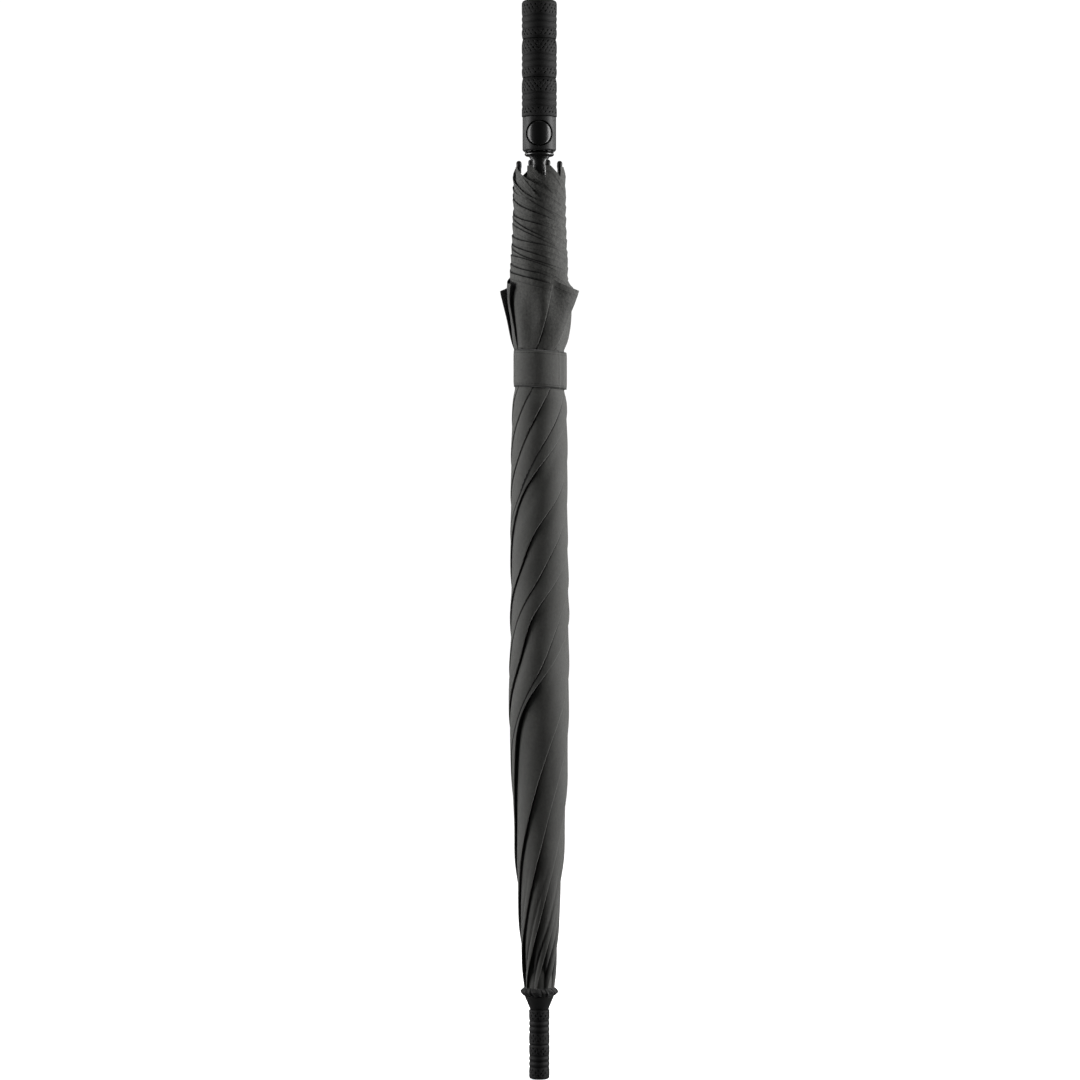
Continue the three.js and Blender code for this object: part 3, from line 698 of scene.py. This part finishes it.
def open_panel(panel, rho, beta, proud=0.0):
    """Places of a gore's points when the umbrella is open, on the outer side of the ribs."""
    ribs = (rib_azimuth[panel], rib_azimuth[panel] + GORE)
    directions = [polar(math.sin(OPEN_ANGLE), rib, math.cos(OPEN_ANGLE)) for rib in ribs]
    pivots = [polar(CROWN_R, rib, CROWN_Z) for rib in ribs]
    whole = 2 * HALF_GORE
    t = (beta + HALF_GORE) / whole
    a = (np.sin((1 - t) * whole) / math.sin(whole))[..., None]
    b = (np.sin(t * whole) / math.sin(whole))[..., None]
    along = a * directions[0] + b * directions[1]
    along = along / np.linalg.norm(along, axis=-1, keepdims=True)
    start = (1 - t)[..., None] * pivots[0] + t[..., None] * pivots[1]
    normal = np.cross(directions[1], directions[0])
    normal = -normal * np.sign(normal[2]) / np.linalg.norm(normal)
    lift = RIB_THICK + 0.7 + 2.4 * np.exp(-((rho / 26) ** 2)) + proud
    sag = GORE_SAG * np.sin(math.pi * t) * smooth(30, 640, rho)
    return start + along * rho[..., None] + normal * (lift - sag)[..., None]


def spread_tree(name, carrier=None):
    """Geometry nodes that take a piece from its rolled place to its open_place as the runner
    travels. With a carrier, the open places are in that body's frame."""
    tree = bpy.data.node_groups.new(name, "GeometryNodeTree")
    for way in ("INPUT", "OUTPUT"):
        tree.interface.new_socket("Geometry", in_out=way, socket_type="NodeSocketGeometry")

    def body(name, space):
        node = add_node(tree, "GeometryNodeObjectInfo", [("transform_space", space)])
        node.inputs["Object"].default_value = frame["bodies"][name]
        return node.outputs

    def attribute(name, kind):
        node = add_node(
            tree, "GeometryNodeInputNamedAttribute", [("data_type", kind)], Name=name)
        return node.outputs["Attribute"]

    moved = add_node(tree, "ShaderNodeSeparateXYZ", Vector=body("runner", "ORIGINAL")["Location"])
    share = add_math(tree, "MULTIPLY", moved.outputs["Z"], -1 / TRAVEL, True)
    target = attribute("open_place", "FLOAT_VECTOR")
    if carrier is not None:
        transform = body(carrier, "RELATIVE")["Transform"]
        carry = add_node(tree, "FunctionNodeTransformPoint", Vector=target, Transform=transform)
        target = carry.outputs["Vector"]
    here = add_node(tree, "GeometryNodeInputPosition").outputs[0]
    mix = add_node(tree, "ShaderNodeMix", [("data_type", "VECTOR")])
    live = [s for s in mix.inputs if s.type in ("VALUE", "VECTOR") and s.enabled]
    for socket, value in zip(live, (share, here, target)):
        plug(tree, value, socket)
    mixed = [s for s in mix.outputs if s.type == "VECTOR" and s.enabled][0]
    rolled = add_node(tree, "NodeGroupInput").outputs[0]
    put = add_node(tree, "GeometryNodeSetPosition", Geometry=rolled, Position=mixed)
    # the painted shade lines fade as the cloth is spread
    eased = add_math(tree, "ADD", attribute("from_edge", "FLOAT"), share)
    store = add_node(
        tree, "GeometryNodeStoreNamedAttribute", [("data_type", "FLOAT")],
        Geometry=put.outputs[0], Name="from_edge", Value=eased)
    add_node(tree, "NodeGroupOutput", Geometry=store.outputs[0])
    return tree


def spreads(obj, tree, open_mm):
    set_attribute(obj, "open_place", open_mm * MM, "FLOAT_VECTOR")
    modifier = obj.modifiers.new("spread", "NODES")
    modifier.node_group = tree


gore_tree = spread_tree("gore_spread")


# the eight gores, each with its flat cut and its places when open
for panel in range(RIBS):
    places, rho, beta, lines = rolled_panel(panel)
    rows, columns = rho.shape
    cloth = new_object(f"canopy_cloth_{panel + 1}", places, grid_faces(rows, columns))
    set_distances(cloth, cut_x=rho * np.sin(beta), cut_y=rho * np.cos(beta), **lines)
    spreads(cloth, gore_tree, into_rib(panel, open_panel(panel, rho, beta)))
    place_piece(cloth, f"rib_{panel + 1}", f"canopy_panel_{panel + 1}", "canopy_cloth")


# ---------- handle and tip: moulded rubber ----------


PIT_HALF_LENGTH, PIT_HALF_WIDTH = 1.4, 0.6


def dashes(azimuth, z, radius, first, last, pitch_around, pitch_up, depth):
    """Depth of slanting pits in a band of heights. They lean one way on the left half and the
    other way on the right half, as seen from the front, and no two are quite alike."""
    count = int(round(TAU * radius / pitch_around))
    rows = max(1, int(round((last - first) / pitch_up)))
    step = (last - first) / rows
    out = np.zeros(np.broadcast(azimuth, z).shape)
    side = np.sign(np.cos(azimuth))
    for row in range(rows):
        cell = azimuth / TAU * count + 0.5 * (row % 2)
        index = np.floor(cell).astype(int) % count
        jitter = rng.uniform(-1, 1, (4, count))
        across = (cell - np.floor(cell) - 0.5) * TAU * radius / count
        across = across + 0.5 * jitter[0][index]
        up = z - (first + (row + 0.5) * step) + 0.3 * jitter[1][index]
        slant = 0.85 + 0.35 * jitter[2][index]
        along = across * np.cos(slant) + up * np.sin(slant) * side
        beside = -across * np.sin(slant) * side + up * np.cos(slant)
        size = (along / PIT_HALF_LENGTH) ** 2 + (beside / PIT_HALF_WIDTH) ** 2
        out = np.maximum(out, (1 - smooth(0.3, 1.3, size)) * (0.7 + 0.3 * jitter[3][index]))
    fade = smooth(first - 0.3, first + 0.5, z) * (1 - smooth(last - 0.5, last + 0.3, z))
    return out * fade * depth


def rubber_sleeve(name, outline, pits, columns, pit_sizes, row_step):
    """A revolved rubber sleeve with pitted bands; outline is [r, z] from the bottom up, and
    pit_sizes is the pits' pitch round and up the sleeve and their depth."""
    profile = refined(rounded(outline, 0.5, 4), row_step)
    azimuth = np.arange(columns)[None, :] * TAU / columns
    radius, z = profile[:, :1], profile[:, 1:2]
    depth = np.zeros((len(profile), columns))
    widest_radius = radius.max()
    for first, last in pits:
        depth = np.maximum(depth, dashes(azimuth, z, widest_radius, first, last, *pit_sizes))
    wall = smooth(0.75, 0.92, radius / widest_radius)
    points = polar(radius - depth * wall, azimuth, z)
    sleeve = new_object(name, points, grid_faces(len(profile), columns, True))
    # painted shade: darker in the pits and wherever the sleeve is narrower than its widest
    sunk = 0.75 * smooth(0.08, 0.5, 1 - np.clip((radius - widest_radius + 1), 0, 1)) * wall
    shade = 1 - np.maximum(0.93 * smooth(0.03, 0.5, depth * wall), sunk)
    set_attribute(sleeve, "shade_clear", shade)
    return sleeve


def notch(radius, z, depth=0.55, half=2.2):
    """Outline points of one ripple at a height."""
    return [[radius, z - half, 1.6], [radius - depth, z, 0.45], [radius, z + half, 1.6]]


GRIP_BOTTOM, GRIP_TOP = heights("grip_sleeve")
GRIP_SEGMENT = (GRIP_TOP - GRIP_BOTTOM) / 3
GRIP_R = 16.3
GRIP_WAIST_R = GRIP_R - 0.75  # where two segments meet
RIPPLES_BELOW_TOP = (26.1, 20.1, 14.2)  # of each of the grip's three segments
grip_outline = [
    [11.6, GRIP_BOTTOM + 0.1], [GRIP_R - 0.9, GRIP_BOTTOM + 0.1, 0.7], [GRIP_R, GRIP_BOTTOM + 1.0],
]
grip_pits = []
for part in range(3):
    bottom = GRIP_BOTTOM + part * GRIP_SEGMENT
    top = bottom + GRIP_SEGMENT
    if part:
        grip_outline += [[GRIP_WAIST_R, bottom + 0.5, 0.4], [GRIP_R, bottom + 4.6, 3.0]]
    else:
        grip_outline += [[GRIP_R, bottom + 3.6, 1.0]]
    for below_top in RIPPLES_BELOW_TOP:
        grip_outline += notch(GRIP_R, top - below_top)
    grip_pits.append((bottom + 2.6, top - 27.3))
    grip_pits.append((top - 13.0, top - (1.6 if part < 2 else 3.6)))
    if part < 2:
        grip_outline += [[GRIP_R, top - 4.6, 3.0], [GRIP_WAIST_R, top - 0.5, 0.4]]
        grip_outline += [[GRIP_R - 1.9, top - 0.2, 0.1], [GRIP_R - 1.9, top + 0.2, 0.1]]
grip_outline += [[GRIP_R, GRIP_TOP, 3.8], [9.0, GRIP_TOP + 0.35], [0.02, GRIP_TOP + 0.55]]
grip = rubber_sleeve(
    "grip_rubber_sleeve", grip_outline, grip_pits, 400, pit_sizes=(4.5, 2.7, 0.85), row_step=0.32)
place_piece(grip, "frame", "grip_sleeve", "grip_rubber")

TIP_TOP = heights("tip_grip")[1]
TIP_R = 9.57
tip_outline = [[0.02, 0.0], [TIP_R, 0.0, 2.9]]
for height in (11.3, 16.5, 21.6):
    tip_outline += notch(TIP_R, height, half=2.1)
tip_outline += [
    [TIP_R, 30.6, 0.9], [TIP_R - 0.6, 31.8, 0.2], [TIP_R - 0.6, 32.1, 0.2], [TIP_R, 33.3, 0.9],
]
for height in (43.2, 48.8, 53.9):
    tip_outline += notch(TIP_R, height, half=2.1)
tip_outline += [[TIP_R, TIP_TOP, 0.8], [7.4, TIP_TOP]]
tip_pits = [(2.6, 9.9), (23.2, 29.6), (34.4, 41.8), (55.4, 62.6)]
tip = rubber_sleeve(
    "tip_rubber_sleeve", tip_outline, tip_pits, 240, pit_sizes=(4.6, 2.4, 0.8), row_step=0.3)
place_piece(tip, "frame", "tip_grip", "grip_rubber")

# ---------- button housing and button ----------

HOUSING_BOTTOM, HOUSING_TOP = heights("button_housing")
HOUSING_R = 15.6
BUTTON_Z = sum(heights("release_button")) / 2 - 1.0
BUTTON_R = 11.15
RING_R = 12.2  # of the ring groove round the button
RING_DEPTH = 2.7
HALF_FRONT = math.radians(76)  # the housing's front, with the ring in it, turns this far each way


def housing_parts():
    """The barrel: a front with a ring groove, a back, a chamfered bottom and a top with a neck."""
    low, high = HOUSING_BOTTOM + 2.2, HOUSING_TOP - 0.5
    count = 240
    angle = np.arange(count) * TAU / count
    # the rectangle round the ring, in arc length and height
    reach = HOUSING_R * HALF_FRONT
    up = np.where(np.sin(angle) > 0, high - BUTTON_Z, BUTTON_Z - low)
    across_share = np.maximum(np.abs(np.cos(angle)), 1e-9)
    up_share = np.maximum(np.abs(np.sin(angle)), 1e-9)
    scale = np.minimum(reach / across_share, up / up_share)
    frame_arc, frame_z = scale * np.cos(angle), scale * np.sin(angle)
    rows = []
    groove = [
        (BUTTON_R + 0.15, RING_DEPTH + 0.05), (RING_R, RING_DEPTH), (RING_R, 1.2), (RING_R, 0.45),
        (RING_R + 0.07, 0.14), (RING_R + 0.26, 0.0),
    ]
    for r, depth in groove:
        arc = HOUSING_R * np.arcsin(np.clip(r * np.cos(angle) / HOUSING_R, -1, 1))
        rows.append((arc, r * np.sin(angle), np.full(count, depth)))
    ring_arc, ring_z, _ = rows[-1]
    for t in (0.08, 0.2, 0.35, 0.5, 0.65, 0.8, 0.9, 1.0):
        arc = ring_arc + (frame_arc - ring_arc) * t
        rows.append((arc, ring_z + (frame_z - ring_z) * t, np.zeros(count)))
    arcs, heights, depths = (np.array(x) for x in zip(*rows))
    # the ring's wall runs straight in, so that the button can be pressed past it
    turn = arcs / HOUSING_R
    front = np.stack([
        HOUSING_R * np.sin(turn), depths - HOUSING_R * np.cos(turn), BUTTON_Z + heights], -1)
    back_azimuth = np.linspace(HALF_FRONT - math.pi / 2, 1.5 * math.pi - HALF_FRONT, 120)[None, :]
    back_z = np.linspace(low, high, 12)[:, None]
    back = polar(HOUSING_R, back_azimuth, back_z)
    neck_z = GRIP_BOTTOM + 0.2
    bottom = rounded([
        [12.6, HOUSING_BOTTOM + 3.0], [13.3, HOUSING_BOTTOM, 0.3], [14.5, HOUSING_BOTTOM, 0.3],
        [HOUSING_R, HOUSING_BOTTOM + 1.3, 0.5], [HOUSING_R, low],
    ], 0.3, 4)
    top = rounded([
        [HOUSING_R, high], [HOUSING_R, HOUSING_TOP, 0.35], [14.8, HOUSING_TOP],
        [14.8, neck_z], [10.0, neck_z],
    ], 0.1, 4)
    return [
        (front, grid_faces(len(rows), count, True)),
        (back, grid_faces(12, 120)),
        revolved_parts(bottom, 160),
        revolved_parts(top, 160),
    ]


housing = new_object("housing_barrel", *join_parts(housing_parts()))
place_piece(housing, "frame", "button_housing", "moulding")


def button_parts():
    """The domed cap and its rounded skirt, following the housing's curve."""
    count = 160
    angle = np.arange(count)[None, :] * TAU / count
    rim = [0.9, 0.94, 0.965, 0.985, 0.996, 1.0, 1.0, 1.0]
    rim_drop = [0.03, 0.08, 0.16, 0.3, 0.5, 0.75, 1.1, 1.6]
    reach = np.append(np.linspace(0.002, 0.86, 14), rim)[:, None]
    drop = np.append(np.zeros(14), rim_drop)[:, None]
    across, up = BUTTON_R * reach * np.cos(angle), BUTTON_R * reach * np.sin(angle)
    dome = 0.75 * (1 - reach**2) - 0.15
    face = np.sqrt(HOUSING_R**2 - across**2) + dome - drop
    points = np.stack([across, -face, BUTTON_Z + up], -1)
    return points, [f[::-1] for f in grid_faces(len(reach), count, True)]


button = new_object("button_cap", *button_parts())
place_piece(button, "button", "release_button", "gloss_moulding")


def coil_parts():
    """The wire spring behind the button, lying along y, as one long tube."""
    low, high = box_mm("button_spring")
    wire, turns = 0.3, 7
    t = np.linspace(0, 1, 180)[:, None]
    ring = np.arange(10)[None, :] * TAU / 10
    thick = wire * np.clip(80 * np.minimum(t, 1 - t) + 0.03, 0, 1)
    radius = (high[0] - low[0]) / 2 - wire + thick * np.cos(ring)
    y = low[1] + wire + (high[1] - low[1] - 2 * wire) * t + thick * np.sin(ring)
    middle = (low + high) / 2
    spin = TAU * turns * t
    points = np.stack([
        middle[0] + radius * np.cos(spin), y, middle[2] + radius * np.sin(spin)], -1)
    return points, grid_faces(len(t), 10, True)


coil = new_object("button_coil", *coil_parts())
place_piece(coil, "frame", "button_spring", "steel")
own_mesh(coil)

# ---------- runner, crown cap and rosette ----------

FLANGE_TOP = HOUSING_BOTTOM - 1.4
FLANGE_BOTTOM = FLANGE_TOP - 3.0
SLEEVE_END, SLEEVE_TOP = heights("runner_sleeve")
runner_outline = rounded([
    [6.2, SLEEVE_END], [7.4, SLEEVE_END, 0.3], [7.62, SLEEVE_END + 8],
    [7.62, FLANGE_BOTTOM - 5.5, 2.0], [8.1, FLANGE_BOTTOM - 3.0, 1.2],
    [9.9, FLANGE_BOTTOM - 0.05, 0.5], [12.4, FLANGE_BOTTOM, 0.3], [13.6, FLANGE_BOTTOM + 0.9, 0.5],
    [13.7, FLANGE_TOP - 0.9, 0.6], [12.6, FLANGE_TOP, 0.4], [8.4, FLANGE_TOP, 0.5],
    [7.2, FLANGE_TOP + 1.2, 0.6], [7.2, SLEEVE_TOP - 2.0, 0.3], [8.55, SLEEVE_TOP - 1.7, 0.3],
    [8.1, SLEEVE_TOP, 0.3], [6.2, SLEEVE_TOP],
], 0.4, 5)
runner = revolved("runner_barrel", refined(runner_outline, 3.0), 128)
place_piece(runner, "runner", "runner_sleeve", "gloss_moulding", "polished")

CONE_BOTTOM, CONE_TOP = heights("crown_cap")
CONE_TOP += 0.4  # into the rosette
cap_outline = rounded([
    [6.3, CONE_BOTTOM], [8.6, CONE_BOTTOM, 0.4], [9.2, CONE_BOTTOM + 1.6, 0.6],
    [9.5, CONE_BOTTOM + 2.4, 0.5], [13.6, CONE_TOP, 0.5], [6.3, CONE_TOP],
], 0.4, 6)
cap = revolved("crown_cone", refined(cap_outline, 2.0), 128)
place_piece(cap, "frame", "crown_cap", "gloss_moulding", "moulding")

ROSETTE_LOW, ROSETTE_HIGH = heights("canopy_rosette")
ROSETTE_R = 17.0
ROSETTE_COLUMNS = 420
ROSETTE_FOLDS = 11  # pairs of folds round the ring


def rosette_grid():
    """A strip of cloth gathered round the crown, bellied out between the cap and the canopy."""
    middle = (ROSETTE_LOW + ROSETTE_HIGH) / 2
    belly = refined(rounded([
        [10.6, ROSETTE_LOW + 0.2], [13.5, ROSETTE_LOW + 0.5], [16.0, middle - 2.0],
        [ROSETTE_R + 0.5, middle - 0.1], [16.3, middle + 1.6], [14.8, middle + 3.1],
        [13.0, middle + 3.9],
    ], 1.2, 5), 0.5)
    step = np.linalg.norm(np.diff(belly, axis=0), axis=1)
    walked = np.concatenate([[0], np.cumsum(step)])[:, None]
    t = walked / walked[-1]
    azimuth = np.arange(ROSETTE_COLUMNS)[None, :] * TAU / ROSETTE_COLUMNS
    loose = np.sin(math.pi * t) ** 0.8
    phase = azimuth + 0.06 * np.sin(5 * azimuth) + 0.3 * (t - 0.5)
    fold = np.abs(np.sin(ROSETTE_FOLDS * phase))
    ruffle = fold - 0.6 + 0.35 * np.sin(37 * phase + 2.0)
    radius = belly[:, :1] + loose * (0.6 * ruffle + 0.3 * np.sin(4 * azimuth + 0.4))
    z = belly[:, 1:2] + loose * 0.5 * np.sin(ROSETTE_FOLDS * phase + 6 * t)
    # gap is the distance from painted shade: small in the fold valleys and on the lower half, which
    # are painted darker
    gap = 0.1 + 0.45 * smooth(0.4, 0.8, t) + 0.8 * fold**1.2
    return polar(radius, azimuth, z), walked + 0 * azimuth, gap


rosette_points, rosette_walk, rosette_shade_distance = rosette_grid()
rosette = new_object(
    "rosette_ruffle", rosette_points, grid_faces(len(rosette_walk), ROSETTE_COLUMNS, True))
rosette_azimuth = np.arctan2(rosette_points[..., 1], rosette_points[..., 0])
set_distances(
    rosette, cut_x=ROSETTE_R * rosette_azimuth, cut_y=rosette_walk, to_hem=rosette_walk,
    from_edge=rosette_shade_distance, to_fold=np.full_like(rosette_walk, 5.0))
place_piece(rosette, "frame", "canopy_rosette", "canopy_cloth", "rosette")

# ---------- rib tips ----------

CAP_START = RIB_LENGTH - 9.5
cap_profile = refined(rounded([
    [1.75, CAP_START], [2.15, CAP_START, 0.2], [1.95, RIB_LENGTH - 6.2, 1.6],
    [2.5, RIB_LENGTH - 3.4, 1.0], [2.5, RIB_LENGTH - 2.0, 0.6], [2.1, RIB_LENGTH - 0.8, 0.5],
    [1.2, RIB_LENGTH + 0.05, 0.4], [0.02, RIB_LENGTH + 0.25],
], 0.3, 6), 0.8)
for i, azimuth in enumerate(rib_azimuth):
    points, faces = revolved_parts(cap_profile, 40)
    lean = polar(math.sin(LEAN), azimuth, math.cos(LEAN))
    base = polar(CROWN_R, azimuth, CROWN_Z)
    rib_cap = new_object(f"tip_cap_{i + 1}", lay_along(points, base, lean), faces)
    place_piece(rib_cap, f"rib_{i + 1}", f"rib_tip_{i + 1}", "gloss_moulding", "moulding")

# ---------- strap ----------

STRAP_MIDDLE = (STRAP_LOW + STRAP_HIGH) / 2
STRAP_HALF = (STRAP_HIGH - STRAP_LOW) / 2
STRAP_R = 23.2
STRAP_THICK = 0.9
TAB_AZIMUTH = math.radians(-40)
TAB_SWEEP = math.radians(44)
STRAP_LENGTH = TAU * STRAP_R
LOOP_TUCK = math.radians(16)  # the loop's start lies this far under the tab
LOOP_GAP = 0.004  # radians left open under the tab
STRAP_STEP = STRAP_THICK + 0.25  # how far the tab steps up to lie on the loop
CALM_CLOTH = 100.0  # this far from a hem, cloth is hardly crumpled


def strap_section(steps_across=16):
    """Cloth doubled over: a flat loop, as (across from -1 to 1, out from 0 to 1)."""
    across = np.linspace(-1, 1, steps_across)
    rim = np.sqrt(np.clip(1 - np.abs(across) ** 14, 0, 1))
    outer = np.stack([across, 0.5 + 0.5 * rim], -1)
    inner = np.stack([across[::-1], 0.5 - 0.5 * rim], -1)
    return np.concatenate([outer, inner[1:-1]])


def strap_piece(name, start, sweep, columns, step_over=0.0, lift_end=0.0):
    """A length of strap and its places on the open canopy; azimuths in radians, the rest in mm."""
    radius, thick, half = STRAP_R, STRAP_THICK, STRAP_HALF - 0.2
    section = strap_section()
    t = np.linspace(0, 1, columns)[None, :]
    azimuth = start + sweep * t
    across, out = section[:, :1], section[:, 1:2]
    stitch = 1 - 0.35 * bump(0.82, 0.05, np.abs(across)) * (out > 0.5)
    wave = 0.12 * np.sin(3 * azimuth + 1) + 0.1 * np.sin(7 * azimuth)
    drop = STRAP_LEAN * radius * np.cos(azimuth)
    end_lift = lift_end * smooth(0.55, 1, t) ** 2 + step_over * smooth(0.1, 0.45, t)
    from_axis = radius + thick * out * stitch + wave + end_lift
    points = polar(from_axis, azimuth, STRAP_MIDDLE + across * half - drop)
    around = len(section)
    last = (around - 1) * columns
    faces = [f[::-1] for f in grid_faces(around, columns)]
    faces += [[c, c + 1, last + c + 1, last + c] for c in range(columns - 1)]
    faces.append([r * columns for r in range(around)])
    faces.append([r * columns + columns - 1 for r in range(around)][::-1])
    piece = new_object(name, points, faces)
    arc = (azimuth - TAB_AZIMUTH) * radius + 0 * across
    to_side = (1 - np.abs(across)) * half + 0 * azimuth
    # painted highlight and painted shade along the strap's rims, from to_fold and from_edge
    set_distances(
        piece, cut_x=arc, cut_y=across * half + 0 * azimuth, to_side=to_side, to_fold=to_side,
        to_hem=np.full(arc.shape, CALM_CLOTH), from_edge=to_side + 0.5)
    # laid straight on the first open gore
    flat_x = arc - STRAP_LENGTH * 0.62
    flat_y = across * half + STRAP_MIDDLE - CROWN_Z - 6
    rho = np.hypot(flat_x, flat_y)
    beta = np.arctan2(flat_x, flat_y)
    above = 0.6 + end_lift + 0 * across
    laid = open_panel(0, rho, beta, proud=above)
    facing = open_panel(0, rho, beta, proud=above + thick)
    place = laid + (facing - laid) * (out + 0 * azimuth)[..., None]
    return piece, into_rib(0, place)


band, band_open = strap_piece(
    "strap_loop", TAB_AZIMUTH + LOOP_TUCK, TAU - LOOP_TUCK - LOOP_GAP, 200)
spreads(band, gore_tree, band_open)
place_piece(band, "rib_1", "strap_band", "strap_webbing")
tab, tab_open = strap_piece("strap_end", TAB_AZIMUTH, TAB_SWEEP, 60, STRAP_STEP, lift_end=0.35)
spreads(tab, spread_tree("tab_spread", "rib_1"), tab_open)
place_piece(tab, "tab", "strap_tab", "strap_webbing")

# ---------- CAD nodes that show or stay inside ----------

CAD_FINISH = {
    "moulding": ["crown_notch", "handle_core", "housing_insert", "runner_ring"],
    "fibreglass": ["shaft_tube"],
    "steel": [
        "crown_wire", "runner_wire", "opening_spring", "spring_seat", "drive_pin", "latch_pin",
        "latch_lever",
    ],
}
for i in range(1, RIBS + 1):
    CAD_FINISH["fibreglass"] += [f"rib_{i}", f"stretcher_{i}"]
for slot_name, node_names in CAD_FINISH.items():
    for node_name in node_names:
        finish_with(frame["nodes"][node_name], slot_name)

# ---------- floor, light and camera ----------

CAMERA_DISTANCE = 3.2
FRAME_HEIGHT = 1.00332  # metres seen from top to bottom at the umbrella's axis
SENSOR = 36.0
CAMERA_HEIGHT = 0.5003

camera_data = bpy.data.cameras.new("camera")
camera_data.sensor_width = SENSOR
camera_data.lens = SENSOR * CAMERA_DISTANCE / FRAME_HEIGHT
camera_data.clip_end = 50
camera = bpy.data.objects.new("camera", camera_data)
camera.location = (0.00065, -CAMERA_DISTANCE, CAMERA_HEIGHT)
camera.rotation_euler = (math.pi / 2, 0, 0)
scene.collection.objects.link(camera)
scene.camera = camera


def pale_floor():
    rings = np.array([[0.001, 0.0], [900, 0], [4000, 0], [60000, 0]])
    floor = new_object("floor", *revolved_parts(rings, 96))
    floor.location.z = -0.0004
    floor.visible_glossy = False
    floor.visible_diffuse = False
    floor.visible_shadow = False
    paint = Paint("floor_paint")
    noise = paint.node("ShaderNodeTexNoise", Scale=3.0).outputs["Fac"]
    paint.set(Base_Color=paint.span(noise, 0.86, 0.9), Roughness=0.9, Specular_IOR_Level=0.1,
              Emission_Color=(1, 1, 1, 1), Emission_Strength=0.6)
    floor.data.materials.append(paint.material)


def light_object(name, kind, energy, rotation, place=(0, 0, 0)):
    data = bpy.data.lights.new(name, kind)
    data.energy = energy
    light = bpy.data.objects.new(name, data)
    light.location, light.rotation_euler = place, rotation
    scene.collection.objects.link(light)
    return light


def soft_light(name, place, target_height, width, height, watts):
    """A soft box out of the camera's sight, turned to a height on the umbrella's axis."""
    aim = Vector((0, 0, target_height)) - Vector(place)
    light = light_object(name, "AREA", watts, aim.to_track_quat("-Z", "Y").to_euler(), place)
    light.data.shape = "RECTANGLE"
    light.data.size, light.data.size_y = width, height
    light.visible_camera = False


def studio_world(seen, lit):
    """White as the camera sees it, dim as it lights the umbrella."""
    world = bpy.data.worlds.new("studio")
    world.use_nodes = True
    nodes, link = world.node_tree.nodes, world.node_tree.links.new
    nodes.clear()
    chooser = nodes.new("ShaderNodeMixShader")
    link(nodes.new("ShaderNodeLightPath").outputs["Is Camera Ray"], chooser.inputs[0])
    for socket, strength in zip(chooser.inputs[1:], (lit, seen)):
        background = nodes.new("ShaderNodeBackground")
        background.inputs["Color"].default_value = (1, 1, 1, 1)
        background.inputs["Strength"].default_value = strength
        link(background.outputs[0], socket)
    link(chooser.outputs[0], nodes.new("ShaderNodeOutputWorld").inputs["Surface"])
    scene.world = world


pale_floor()
soft_light("left_box", (-1.6, -0.12, 0.76), 0.56, 0.7, 1.5, 40)
soft_light("right_box", (1.6, -0.1, 0.76), 0.56, 0.8, 1.5, 60)
for side, sign in (("left", -1), ("right", 1)):
    soft_light(side + "_back_box", (1.5 * sign, 1.0, 0.7), 0.5, 0.6, 1.8, 12)
light_object("ceiling", "SUN", 1.6, (0, 0, 0)).data.angle = math.radians(60)
light_object("floor_bounce", "SUN", 0.8, (math.pi, 0, 0)).data.angle = math.radians(40)
studio_world(seen=1.05, lit=0.05)
scene.view_settings.view_transform = "Standard"

bpy.context.view_layer.update()
